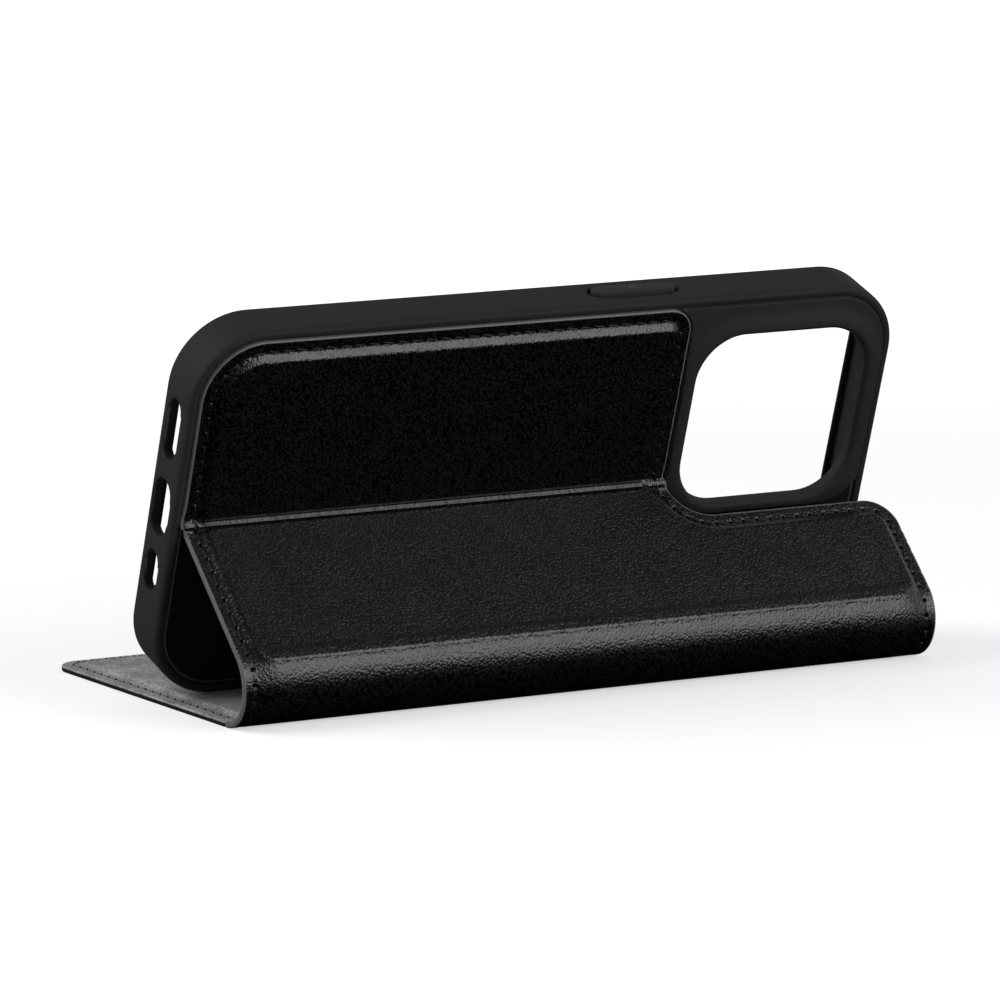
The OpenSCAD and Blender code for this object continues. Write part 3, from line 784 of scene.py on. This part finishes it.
def addPowerMark(parts, wall, place):
    # standard on-off sign: an open ring with a bar in its gap, printed slightly proud
    m = powerMark
    gap, stroke = math.radians(m["gapTurn"]), m["stroke"]
    turns = math.pi / 2 + np.linspace(gap, 2 * math.pi - gap, 21)
    circle = np.column_stack([np.cos(turns), np.sin(turns)])
    strips = [[circle * (m["radius"] - stroke), circle * (m["radius"] + stroke)],
        [crossed((-stroke, stroke), [y]) for y in m["bar"]]]
    surface = -(wallKeys["rise"] + m["proud"])
    for one, other in strips:
        rows = [wallPoint(wall, row + [place, wallLevel], inset) for row, inset in (
            (one, surface), (other, surface), (other, surface + m["thick"]), (one, surface + m["thick"]))]
        for rowA, rowB in zip(rows, rows[1:] + rows[:1]):
            parts.band(rowA, rowB, 1, closed=False)
        for end in (0, -1):
            parts.add([row[end] for row in rows], [(0, 1, 2, 3)], 1)


makeKey("sideKey", "side_button", 1, wallKeys["sideFromEnd"], wallKeys["sideLength"])
for name, node, pitches in (("volumeUpKey", "volume_up", 0), ("volumeDownKey", "volume_down", 1)):
    fromEnd = wallKeys["volumeFromEnd"] + pitches * wallKeys["volumePitch"]
    makeKey(name, node, 3, fromEnd, wallKeys["volumeLength"])
print("keys made")


# Seams: sunk paths with needle holes, and a thread between each two holes
stitching = {
    "inset": 2.2, "pitch": 3.0, "length": 2.3, "thread": 0.17, "arch": 0.1, "lift": 0.03, "seed": 3,
    "grooveDepth": 0.05, "grooveWidth": 0.4, "holeDepth": 0.68, "holeRadius": 0.3,
}


def evenly(path, pitch):
    # points at one even pitch along an open path
    step = np.linalg.norm(np.diff(path, axis=0), axis=1)
    total = np.concatenate([[0], np.cumsum(step)])
    marks = np.linspace(0, total[-1], max(2, round(total[-1] / pitch) + 1))
    return np.column_stack([np.interp(marks, total, path[:, i]) for i in range(path.shape[1])])


def seamPath(edge):
    # the free edge moved inwards, as an open path in the same order
    return evenly(insetRings(edge, [stitching["inset"]], closed=False), 0.5)


def seamRelief(points, path, holes):
    # how far the leather is drawn in along a seam and at its needle holes
    s = stitching
    groove = s["grooveDepth"] * np.exp(-(distanceTo(path, points, False) / s["grooveWidth"]) ** 2)
    gap = np.min(np.linalg.norm(points[:, None, :] - holes[None, :, :], axis=2), axis=1)
    return groove + s["holeDepth"] * np.exp(-(gap / s["holeRadius"]) ** 3)


def holePoints(holes):
    # mesh points that let each needle hole show
    rings = [holes]
    for radius, count in ((0.12, 6), (0.22, 8), (0.32, 8), (0.42, 8), (0.62, 8)):
        for k in range(count):
            a = 2 * math.pi * k / count
            rings.append(holes + radius * np.array([math.cos(a), math.sin(a)]))
    return np.vstack(rings)


def stitchTree():
    # a row of arched threads, one at each point of the path, turned along the seam with a little sway
    tree, start, end = newGroup("stitchRow", "GeometryNodeTree",
        [("Path", "Geometry", None), ("Length", "Float", 1.0), ("Thread", "Float", 0.2),
            ("Arch", "Float", 0.2), ("Seed", "Int", 3), ("Finish", "Material", None)],
        [("Stitches", "Geometry")])
    half = mathNode(tree, "MULTIPLY", start["Length"], 0.5)
    sunk = mathNode(tree, "MULTIPLY", start["Thread"], -1.3)
    rise = mathNode(tree, "MULTIPLY", start["Arch"], 2.0)
    corners = {"Start": {"X": mathNode(tree, "MULTIPLY", half, -1.0), "Z": sunk},
        "End": {"X": half, "Z": sunk}, "Middle": {"Z": rise}}
    places = {label: addNode(tree, "ShaderNodeCombineXYZ", xyz).outputs[0] for label, xyz in corners.items()}
    arch = addNode(tree, "GeometryNodeCurveQuadraticBezier", {"Resolution": 6, **places})
    profile = addNode(tree, "GeometryNodeCurvePrimitiveCircle", {"Resolution": 6, "Radius": start["Thread"]})
    thread = addNode(tree, "GeometryNodeCurveToMesh", {"Curve": arch.outputs[0],
        "Profile Curve": profile.outputs[0], "Fill Caps": True})
    along, away = (addNode(tree, "GeometryNodeInputNamedAttribute", {"Name": name}, data_type="FLOAT_VECTOR")
        for name in ("seamAlong", "seamOut"))
    turn = addNode(tree, "FunctionNodeAxesToRotation", {"Primary Axis": away.outputs["Attribute"],
        "Secondary Axis": along.outputs["Attribute"]}, primary_axis="Z", secondary_axis="X")
    sway = addNode(tree, "FunctionNodeRandomValue", {0: (-0.04, -0.03, -0.2), 1: (0.04, 0.03, -0.06),
        "Seed": start["Seed"]}, data_type="FLOAT_VECTOR")
    swayed = addNode(tree, "FunctionNodeEulerToRotation", {0: sway.outputs[0]})
    both = addNode(tree, "FunctionNodeRotateRotation", {0: turn.outputs[0], 1: swayed.outputs[0]},
        rotation_space="LOCAL")
    placed = addNode(tree, "GeometryNodeInstanceOnPoints", {"Points": start["Path"],
        "Instance": thread.outputs[0], "Rotation": both.outputs[0]})
    real = addNode(tree, "GeometryNodeRealizeInstances", {0: placed.outputs[0]})
    soft = addNode(tree, "GeometryNodeSetShadeSmooth", {0: real.outputs[0]})
    dressed = addNode(tree, "GeometryNodeSetMaterial", {"Geometry": soft.outputs[0],
        "Material": start["Finish"]})
    tree.links.new(dressed.outputs[0], end[0])
    return tree


stitchRow = stitchTree()


def makeStitches(name, rows, material, length=stitching["length"]):
    # rows are (holes, outward normals); a stitch lies midway between each two holes
    s = stitching
    middles = np.vstack([(holes[1:] + holes[:-1]) / 2 for holes, normals in rows])
    alongs = np.vstack([unit(holes[1:] - holes[:-1]) for holes, normals in rows])
    outs = np.vstack([unit(normals[1:] + normals[:-1]) for holes, normals in rows])
    mesh = bpy.data.meshes.new(name + "Points")
    mesh.from_pydata([tuple(p) for p in middles * mm], [], [])
    for label, vectors in (("seamAlong", alongs), ("seamOut", outs)):
        attribute = mesh.attributes.new(label, "FLOAT_VECTOR", "POINT")
        attribute.data.foreach_set("vector", vectors.astype(np.float32).ravel())
    maker = inScene(name + "Maker", mesh)
    modifier = maker.modifiers.new("stitchRow", "NODES")
    modifier.node_group = stitchRow
    values = {"Length": length * mm, "Thread": s["thread"] * mm, "Arch": s["arch"] * mm, "Seed": s["seed"],
        "Finish": material}
    for item in stitchRow.interface.items_tree:
        if item.in_out == "INPUT" and item.name in values:
            modifier[item.identifier] = values[item.name]
    bpy.context.view_layer.update()
    graph = bpy.context.evaluated_depsgraph_get()
    baked = bpy.data.meshes.new_from_object(maker.evaluated_get(graph))
    baked.name = name
    maker.modifiers.remove(modifier)
    bpy.data.objects.remove(maker)
    return inScene(name, baked)


def seamRow(pointAt, holes):
    # places of needle holes on a surface, and the way out of it there
    places, lifted = (pointAt(holes, stitching["lift"] + more) for more in (0, 0.5))
    return places, unit(lifted - places)


# Leather and lining
padding = {
    "rise": 1.0, "inset": 4.2, "bevel": 1.9, "belowSpineCrease": 1.3, "cornerRound": 3.0,
    "belowFold": 1.25, "belowFoldBevel": 0.7, "aboveFold": 2.3, "aboveFoldBevel": 1.2,
    "spineRise": 0.88, "spineShoulder": 5.0, "creaseFade": 2.0,
}


def makeSheet(name, loops, inner, pointAt, top, thick, freeEdges, materials, runStart=0.0,
        roundTop=True, paintedFace=True):
    # a skin of even thickness whose face follows top(points), with rounded and painted free edges
    def skin(points):
        gap = np.min([distanceTo(edge, points, False) for edge in freeEdges], axis=0)
        drop, level = roundDrop(gap, wallet["edgeRound"]), top(points)
        face = pointAt(points, level - drop if roundTop else level)
        under = pointAt(points, level - thick + (0 if roundTop else drop))
        return gap, face, under, points + [0, runStart]

    places, faces = patch(loops, inner, 0.06)
    gap, face, under, runs = skin(places)
    paint = gap[faces].mean(axis=1) < wallet["paintReach"]
    parts = MeshParts()
    parts.add(face, faces, paint * paintedFace, runs)
    parts.add(under, faces[:, ::-1], paint, runs)
    for loop in loops:
        gap, face, under, runs = skin(loop)
        parts.band(face, under, 1, runs)
    return parts.build(name, materials, 50)


def makeBoard(name, body, node, loop, pointAt):
    # stiffening board between the leather and its lining
    low, high = wallet["leather"], wallet["leather"] + wallet["board"]
    parts = MeshParts()
    places, faces = patch([loop], gridPoints(loop.min(axis=0), loop.max(axis=0), 10, 10))
    for level in (low, high):
        parts.add(pointAt(places, level), faces)
    parts.band(pointAt(loop, low), pointAt(loop, high))
    declare(parts.build(name, [pressBoard], 40), body, [node], "board")


def overBoard(points, edge, ends):
    # height of a lining drawn over a board that stops short of the free edge and of the board's own ends
    sides = smooth((distanceTo(edge, points, False) - wallet["boardInset"] + 0.3) / 1.1)
    return wallet["leather"] + wallet["lining"] + wallet["board"] * np.minimum(sides, ends)


def boardRings(edge):
    steps = (-0.4, -0.1, 0.2, 0.45, 0.7, 0.95, 1.3)
    return insetRings(edge, [wallet["boardInset"] + t for t in steps], False)


def edgeRings(edge):
    return insetRings(edge, [0.04, 0.1, 0.18, 0.27, 0.36, 0.42, 0.6, 1.1], False)


def splitOutline(corners):
    # an outline from the right end of its foot, and its free edge: up the right side and down the left
    loop = filletLoop(corners, 1.0, 0.5)
    first, last = (int(np.argmin(np.hypot(loop[:, 0] - x, loop[:, 1]))) for x in (leatherRight, leatherLeft))
    loop = np.roll(loop, -first, axis=0)
    return loop, loop[:(last - first) % len(loop) + 1]


def roundedMeet(one, other, radius):
    # depth inside two edges at once, with their corner rounded
    both = np.minimum(one, other)
    corner = radius - np.hypot(radius - one, radius - other)
    return np.where((one < radius) & (other < radius), corner, both)


# Flap and back panel: one piece of leather from the spine up over the back fold
panelTop = backPanel["top"] + foldRun - backPanel["foldHeight"]
outerLoop, freeEdge = splitOutline([(leatherLeft, 0, 0), (leatherRight, 0, 0),
    (leatherRight, shoulderRun, wallet["flapCorner"]), (notchSide, shoulderRun, wallet["notchRound"]),
    (notchSide, foldRun + 0.4, 1.5), (backPanel["right"], foldRun + 1.8, 1.5),
    (backPanel["right"], panelTop, backPanel["sideCorner"]),
    (backPanel["left"], panelTop, backPanel["corner"]),
    (backPanel["left"], foldRun + 0.4, 0), (leatherLeft, foldRun - 0.4, 0)])
longEdge = np.vstack([freeEdge[0] - [0, 30], freeEdge, freeEdge[-1] - [0, 30]])  # and on down the spine


def padRise(points):
    # how far the padded middle stands over the sewn margins; negative runs lie on the spine
    k = padding
    run = points[:, 1]
    gap = distanceTo(longEdge, points, False)
    sides = gap - k["inset"]
    flapTop = (foldRun - k["belowFold"] - run) * k["bevel"] / k["belowFoldBevel"]
    onFlap = roundedMeet(roundedMeet(sides, run + k["belowSpineCrease"], k["cornerRound"]), flapTop, 1.5)
    onPanel = roundedMeet(sides, (run - foldRun - k["aboveFold"]) * k["bevel"] / k["aboveFoldBevel"], 2.0)
    share = smooth((np.where(run < foldRun, onFlap, onPanel) + k["bevel"]) / k["bevel"])
    spineShare = smooth((gap - stitching["inset"]) / k["spineShoulder"]) * smooth((2.5 - run) / 2.5) \
        * np.clip(1 + run / (spineRun - 1.5), 0, 1)
    # the board keeps the pad's foot straight a little past the crease
    past = np.clip(-run, 0, None)
    fade = 1 - smooth((past - k["belowSpineCrease"]) / k["creaseFade"])
    straight = np.minimum(past, k["belowSpineCrease"]) ** 2 / (2 * wallet["spineRadius"]) * fade \
        * smooth((sides + k["bevel"]) / k["bevel"])
    return ((k["rise"] * share) ** 6 + (k["spineRise"] * spineShare) ** 6 + 1e-12) ** (1 / 6) + straight


def makeFoldedLeather():
    b, k = backPanel, padding
    seam = seamPath(longEdge)
    seam = seam[seam[:, 1] > 0.4]
    holes = evenly(seam, stitching["pitch"])

    def top(points):
        across = np.exp(-((points[:, 1] - foldRun) / b["beadWidth"]) ** 2)
        return padRise(points) + b["beadHeight"] * across - seamRelief(points, seam, holes) * (1 - across)

    wide, close = (np.arange(leatherLeft + step / 2, leatherRight, step) for step in (2.4, 1.2))
    besideSeam = insetRings(freeEdge, [stitching["inset"] + t for t in (-0.9, -0.5, -0.25)], False)
    shares = (-0.1, 0, 0.12, 0.25, 0.4, 0.55, 0.7, 0.85)
    bevels = insetRings(freeEdge, [k["inset"] - k["bevel"] * t for t in shares], False)
    inner = np.vstack([edgeRings(freeEdge), holePoints(holes), seam, besideSeam, bevels,
        crossed(wide, np.arange(3.5, foldRun - 3.5, 2.4)),
        crossed(wide, np.arange(foldRun + 4, foldRun + 37, 2.4)),
        crossed(close, np.arange(0.25, 3.0, 0.3)), crossed(close, foldRun + np.arange(-2.7, 3.3, 0.2)),
        *(gridPoints((x, 0.1), (x + 6, 4), 0.35, 0.35) for x in (leatherLeft + 3, leatherRight - 9))])
    piece = makeSheet("foldedLeather", [outerLoop], inner, foldedPoint, top, wallet["leather"], [longEdge],
        [leather, litEdgePaint], spineRun)
    low = flapPoint(np.array([[0, foldRun - wallet["foldReach"]]]), 0)[0]
    high = shellPoint(np.array([[0, b["foldHeight"] + wallet["foldReach"]]]), 0)[0]
    declare(piece, "flap", ["flap_leather", "upper_leather"], "leather", "holder", low, high)
    places, normals = seamRow(foldedPoint, holes)
    onPanel = np.flatnonzero(holes[:, 1] > foldRun + 0.3)
    first, last = onPanel[0], onPanel[-1]
    up, over, down = slice(None, first + 1), slice(first, last + 1), slice(last, None)
    upper = makeStitches("panelStitches", [(places[over], normals[over])], blackThread)
    declare(upper, "holder", ["upper_thread"], "thread")
    rows = [(places[part], normals[part]) for part in (up, down)]
    declare(makeStitches("flapStitches", rows, blackThread), "flap", ["flap_thread"], "thread")
    return holes[0], holes[-1]


def makeFlapInside():
    # lining drawn over the board on the flap's hidden side
    w, m = wallet, wallet["boardMargin"]
    loop = filletLoop([(leatherLeft, 0.4, 0), (leatherRight, 0.4, 0),
        (leatherRight, shoulderRun, w["flapCorner"]), (notchSide, shoulderRun, w["notchRound"]),
        (notchSide, foldRun - 1.3, 0), (leatherLeft, foldRun - 1.3, 0)], 1.0, 0.5)

    def hidden(points, out):
        return flapPoint(points, -out)

    def top(points):
        ends = smooth((points[:, 1] - 1.9) / 0.9) * smooth((foldRun - 2.0 - points[:, 1]) / 0.9)
        return overBoard(points, freeEdge, ends)

    rows = np.concatenate([np.arange(1.3, 3.4, 0.3), np.arange(foldRun - 3.5, foldRun - 1.4, 0.3)])
    inner = np.vstack([edgeRings(freeEdge), boardRings(freeEdge),
        crossed(np.arange(leatherLeft + 1, leatherRight, 1.8), rows),
        gridPoints((leatherLeft, 0), (leatherRight, foldRun), 3, 3)])
    lining = makeSheet("flapLining", [loop], inner, hidden, top, w["lining"], [freeEdge],
        [blackNap, litEdgePaint], -30.0)
    declare(lining, "flap", ["flap_lining"], "black_lining")
    board = filletLoop([(leatherLeft + m, 2.2, 2), (leatherRight - m, 2.2, 2),
        (leatherRight - m, shoulderRun - m, 2), (notchSide - m, shoulderRun - m, 4),
        (notchSide - m, foldRun - 2.6, 1), (leatherLeft + m, foldRun - 2.6, 1)], 4.0)
    makeBoard("flapBoard", "flap", "flap_board", board, hidden)


firstHole, lastHole = makeFoldedLeather()
makeFlapInside()
print("flap and back panel made")


# Spine: rolled leather and lining between the cover and the flap's foot
def makeSpine():
    w, s = wallet, stitching
    rows = np.concatenate([np.linspace(0, spineRun - 2.6, 22), np.arange(spineRun - 2.3, spineRun - 0.1, 0.2),
        [spineRun]])
    margins = np.array([0.04, 0.1, 0.18, 0.27, 0.36, 0.42, 0.7, 1.2, 1.6, 1.9, 2.15, 2.4, 2.65, 2.9, 3.3,
        4.0, 4.8])
    xs = np.concatenate([leatherLeft + margins, np.arange(leatherLeft + 6, leatherRight - 5.5, 1.6),
        leatherRight - margins[::-1]])
    inner = crossed(xs, rows[1:-1])
    loop = np.vstack([crossed([leatherLeft, *xs, leatherRight], [0]), crossed([leatherRight], rows[1:-1]),
        crossed([leatherRight, *xs[::-1], leatherLeft], [spineRun]), crossed([leatherLeft], rows[-2:0:-1])])
    free = [np.array([(x, -3.0), (x, spineRun + 3)]) for x in (leatherLeft, leatherRight)]
    sides = (leatherLeft + s["inset"], leatherRight - s["inset"])
    marks = np.arange(spineRun + firstHole[1] - s["pitch"], 0.5, -s["pitch"])
    holes = [crossed([x], marks) for x in sides]
    seams = [np.array([(x, 0.0), (x, spineRun)]) for x in sides]

    def relief(points):
        sunk = np.max([seamRelief(points, seam, row) for seam, row in zip(seams, holes)], axis=0)
        return padRise(points - [0, spineRun]) - sunk

    def flat(points):
        return np.full(len(points), -w["leather"])

    pierced = np.vstack([holePoints(np.vstack(holes)), inner])
    outer = makeSheet("spineLeather", [loop], pierced, spinePoint, relief, w["leather"], free,
        [leather, litEdgePaint])
    within = makeSheet("spineLining", [loop], inner, spinePoint, flat, w["lining"], free,
        [greyNap, litEdgePaint], roundTop=False)
    rows = []
    for row, flapHole in zip(holes, (lastHole, firstHole)):
        places, normals = seamRow(spinePoint, row)
        above = flapPoint(np.array([flapHole]), s["lift"])
        rows.append((np.vstack([above, places]), np.vstack([flapOut, normals])))
    stitches = makeStitches("spineStitches", rows, blackThread)
    # the end of a bend spread over the whole spine, placed so that it would lie almost level once the case is
    # opened flat; the pieces are only fixed in place
    chord = flapFoot - spineFoot
    inwards = np.array([0, chord[2], -chord[1]])  # from the chord towards the spine's hollow
    end = spineFoot + (chord + w["bendHollow"] * inwards) * w["bendReach"]
    for piece, node, slotName in ((outer, "spine_leather", "leather"),
            (within, "spine_lining", "grey_lining"), (stitches, "spine_thread", "thread")):
        declare(piece, "cover", [node], slotName, "spine", spineFoot, end)


makeSpine()
print("spine made")


# Cover: leather on the table, and the grey lining drawn over its board and round the card pockets
cardPockets = {
    "start": 25.0, "length": 92.0, "step": 12.0, "width": 58.0, "fromSpine": 6.5, "leaf": 0.25, "count": 3,
    "thumb": 9.0, "scoop": 0.6, "gap": 0.2, "level": 1.4, "edgeRound": 0.12,
    "seamInset": 1.2, "seamPitch": 2.4, "stitch": 1.8,
}
pocketLeft = leatherLeft + cardPockets["start"]
pocketNear = cardPockets["fromSpine"]
pocketFar = pocketNear + cardPockets["width"]


def upwards(points, height):
    return coverPoint(points, height), np.tile([0.0, 0.0, 1.0], (len(points), 1))


def makeCover():
    w, s, gap, m = wallet, stitching, cardPockets["gap"], wallet["boardMargin"]
    outline, free = splitOutline([(leatherLeft, 0, 0), (leatherRight, 0, 0),
        (leatherRight, coverReach, w["coverCorner"]), (leatherLeft, coverReach, w["coverCorner"])])
    seam = seamPath(free)
    holes = evenly(seam, s["pitch"])
    grid = gridPoints((leatherLeft, 0), (leatherRight, 72), 3, 3)
    beside = insetRings(free, [s["inset"] + t for t in (-0.6, -0.3, 0.3, 0.6)], False)
    shared = np.vstack([edgeRings(free), holePoints(holes), seam, beside])
    left, right = pocketLeft - gap, pocketLeft + cardPockets["length"] + gap
    near, far = pocketNear - gap, pocketFar + gap
    window = filletLoop([(left, near, 1), (right, near, 1), (right, far, 1), (left, far, 1)], 2.0, 0.4)

    def below(points, out):
        return coverPoint(points, -out)

    def leatherTop(points):
        return -seamRelief(points, seam, holes)

    def liningTop(points):
        edge = np.exp(-(distanceTo(window, points) / 0.5) ** 2) * 0.12
        board = overBoard(points, free, smooth((points[:, 1] - 1.7) / 0.9))
        return board - edge - 0.25 * seamRelief(points, seam, holes)

    # the cover's leather and lining take the darker copy of the edge paint on their edges, as painted shade
    under = makeSheet("coverLeather", [outline], np.vstack([shared, grid]), below, leatherTop, w["leather"],
        [free], [leather, shadedEdgePaint], -72.0)
    declare(under, "cover", ["cover_leather"], "leather")
    spineSide = crossed(np.arange(leatherLeft + 1, leatherRight, 1.8),
        (0.4, 0.9, 1.4, 1.7, 1.95, 2.2, 2.45, 2.7, 3.1))
    inner = np.vstack([shared, boardRings(free), spineSide,
        insetRings(window, [0.15, 0.35, 0.6, 0.9], side=-1), grid])
    lining = makeSheet("coverLining", [outline, window], inner, coverPoint, liningTop, w["lining"],
        [free], [greyNap, shadedEdgePaint], -72.0, paintedFace=False)
    declare(lining, "cover", ["cover_lining"], "grey_lining")
    board = filletLoop([(leatherLeft + m, 2.6, 2), (leatherRight - m, 2.6, 2),
        (leatherRight - m, coverReach - m, 2), (leatherLeft + m, coverReach - m, 2)], 4.0)
    makeBoard("coverBoard", "cover", "cover_board", board, coverPoint)
    rows = [upwards(holes, w["leather"] + w["lining"] + s["lift"])]
    declare(makeStitches("coverStitches", rows, liningThread), "cover", ["cover_thread"], "thread")


def leafOutline(mouth):
    # a card leaf with a thumb notch in its mouth
    c = cardPockets
    deep, thumb = c["thumb"] * c["scoop"], c["thumb"]
    middle = (pocketNear + pocketFar) / 2
    turn = math.atan2(math.sqrt(thumb ** 2 - deep ** 2), -deep)
    scoop = [(mouth + deep + thumb * math.cos(a), middle + thumb * math.sin(a), 0)
        for a in np.linspace(2 * math.pi - turn, turn, 17)]
    return filletLoop([(pocketLeft, pocketNear, 1), (mouth, pocketNear, 1), *scoop, (mouth, pocketFar, 1),
        (pocketLeft, pocketFar, 1)], 1.2, 0.3)


def makeCardPockets():
    c = cardPockets
    for leaf in range(c["count"]):
        mouth = pocketLeft + c["length"] - leaf * c["step"]
        loop = leafOutline(mouth)
        base = c["level"] + leaf * c["leaf"]

        def face(points):
            return coverPoint(points, base + c["leaf"] - roundDrop(distanceTo(loop, points), c["edgeRound"]))

        inner = np.vstack([insetRings(loop, [0.04, 0.09, 0.16, 0.5]),
            gridPoints((pocketLeft, pocketNear), (mouth, pocketFar), 5, 5)])
        places, faces = patch([loop], inner, 0.03)
        runs = places + [0, leaf * 90.0]  # so that no two leaves show the same grain
        parts = MeshParts()
        parts.add(face(places), faces, 0, runs)
        parts.add(coverPoint(places, base), faces[:, ::-1], 0, runs)
        parts.band(face(loop), coverPoint(loop, base), 1, loop)
        piece = parts.build("cardLeaf%d" % (leaf + 1), [leafLeather, litEdgePaint], 45)
        declare(piece, "cover", ["card_pocket_%d" % (leaf + 1)], "pocket_leaf")
    # the seam runs round the foot of all leaves, and leaves the mouths open
    left, right = pocketLeft + c["seamInset"], mouth - c["seamInset"]
    near, far = pocketNear + c["seamInset"], pocketFar - c["seamInset"]
    seam = np.array([(right, near), (left, near), (left, far), (right, far)])
    level = c["level"] + c["count"] * c["leaf"] - stitching["lift"]
    rows = [upwards(evenly(seam[k:k + 2], c["seamPitch"]), level) for k in range(3)]
    stitches = makeStitches("pocketStitches", rows, blackThread, c["stitch"])
    declare(stitches, "cover", ["pocket_thread"], "thread")


makeCover()
print("cover made")
makeCardPockets()
print("card pockets made")

# CAD pieces that keep their shape get their finish
finishes = {"upper_board": pressBoard, "panel_adhesive": bondFilm, "shell_lining": pocketNap}
for nodeName, material in finishes.items():
    node = frame["nodes"][nodeName]
    node.data.materials.clear()
    node.data.materials.append(material)

# Floor, light and camera
studio = {
    "floorSize": 8.0, "floorColour": 0.8, "nearGlow": 0.55, "farGlow": 1.0, "glowFrom": 0.25, "glowTo": 0.8,
    "roomLevel": 0.22, "aboveGloss": 0.1, "behindGloss": 0.32, "rightGloss": 0.7,
}
lamps = {
    "keyLamp": {"place": (0.585, -1.2, 0.53), "size": (0.95, 0.98), "power": 8.8},
    "skyLamp": {"place": (-0.9, 0.4, 0.78), "size": (0.9, 0.9), "power": 7.0},
}
viewpoint = {"target": (-1.3, -10.1, 34.0), "distance": 1337.0, "yaw": 29.21, "pitch": -9.05, "roll": -0.23,
    "lens": 252.0}


def eased(tree, value, low, high, start=0.0, end=1.0):
    return ranged(tree, value, low, high, start, end, interpolation_type="SMOOTHSTEP")


def makeFloor():
    # pale matt floor; the camera sees it grow white away from the case, and its shadows stay
    k = studio
    half = k["floorSize"] / 2
    mesh = bpy.data.meshes.new("studioFloor")
    corners = [(-half, -half, 0), (half, -half, 0), (half, half, 0), (-half, half, 0)]
    mesh.from_pydata(corners, [], [(0, 1, 2, 3)])
    material, tree, shader = newMaterial("paleFloor", 0.9, 0.0)
    shader.inputs["Base Color"].default_value = (k["floorColour"],) * 3 + (1,)
    path = addNode(tree, "ShaderNodeLightPath").outputs
    place = addNode(tree, "ShaderNodeTexCoord")
    away = addNode(tree, "ShaderNodeVectorMath", {0: place.outputs["Object"]}, operation="LENGTH")
    level = eased(tree, away.outputs["Value"], k["glowFrom"], k["glowTo"], k["nearGlow"], k["farGlow"])
    seen = mathNode(tree, "MAXIMUM", path["Is Camera Ray"], path["Is Transmission Ray"])
    strength = mathNode(tree, "MULTIPLY", seen, level)
    glow = addNode(tree, "ShaderNodeEmission", {"Color": (1, 1, 1, 1), "Strength": strength})
    total = addNode(tree, "ShaderNodeAddShader", {0: shader.outputs[0], 1: glow.outputs[0]})
    tree.links.new(total.outputs[0], tree.nodes["Material Output"].inputs["Surface"])
    floor = inScene("studioFloor", mesh, [material])
    floor.visible_glossy = False


def addLamp(name, place, size, power):
    # a rectangular softbox that points at the case
    lamp = bpy.data.lights.new(name, "AREA")
    lamp.shape = "RECTANGLE"
    lamp.size, lamp.size_y = size
    lamp.energy = power
    piece = inScene(name, lamp)
    piece.location = place
    piece.rotation_euler = (Vector((0, 0, 0.04)) - Vector(place)).to_track_quat("-Z", "Y").to_euler()


def makeLight():
    # tall softbox in front on the right, broad soft light over the left, and a room that is dark in front
    k = studio
    for name, values in lamps.items():
        addLamp(name, **values)
    world = bpy.data.worlds.new("studioWorld")
    world.use_nodes = True
    tree = world.node_tree
    background = tree.nodes["Background"]
    background.inputs["Color"].default_value = (1, 1, 1, 1)
    path = addNode(tree, "ShaderNodeLightPath").outputs
    way = addNode(tree, "ShaderNodeTexCoord")
    toward = addNode(tree, "ShaderNodeSeparateXYZ", {0: way.outputs["Generated"]}).outputs
    above = eased(tree, toward["Z"], -0.05, 0.35, 0.0, k["aboveGloss"])
    behind = mathNode(tree, "MULTIPLY", eased(tree, toward["Y"], -0.05, 0.5, 0.0, k["behindGloss"]),
        eased(tree, toward["Z"], -0.45, -0.2))
    right = mathNode(tree, "MULTIPLY", eased(tree, toward["X"], 0.68, 0.88, 0.0, k["rightGloss"]),
        eased(tree, toward["Z"], -0.2, 0.1))
    brightest = mathNode(tree, "MAXIMUM", above, mathNode(tree, "MAXIMUM", behind, right))
    gloss = mathNode(tree, "MULTIPLY", brightest, path["Is Glossy Ray"])
    plain = mathNode(tree, "MULTIPLY", path["Is Diffuse Ray"], k["roomLevel"])
    seen = mathNode(tree, "MAXIMUM", path["Is Camera Ray"], path["Is Transmission Ray"])
    total = mathNode(tree, "MAXIMUM", mathNode(tree, "MAXIMUM", gloss, plain), seen)
    tree.links.new(total, background.inputs["Strength"])
    bpy.context.scene.world = world


def makeCamera():
    v = viewpoint
    yaw, pitch, roll = (math.radians(v[key]) for key in ("yaw", "pitch", "roll"))
    forward = Vector((math.sin(yaw) * math.cos(pitch), math.cos(yaw) * math.cos(pitch), math.sin(pitch)))
    right = Vector((math.cos(yaw), -math.sin(yaw), 0))
    up = right.cross(forward)
    tiltedRight = right * math.cos(roll) + up * math.sin(roll)
    tiltedUp = up * math.cos(roll) - right * math.sin(roll)
    data = bpy.data.cameras.new("studioCamera")
    data.lens, data.sensor_width, data.clip_end = v["lens"], 36.0, 50.0
    camera = inScene("studioCamera", data)
    turn = Matrix((tiltedRight, tiltedUp, -forward)).transposed().to_4x4()
    turn.translation = (Vector(v["target"]) - forward * v["distance"]) * mm
    camera.matrix_world = turn
    bpy.context.scene.camera = camera


makeFloor()
makeLight()
makeCamera()
bpy.context.scene.view_settings.view_transform = "Standard"
print("floor, light and camera set")

bpy.context.view_layer.update()
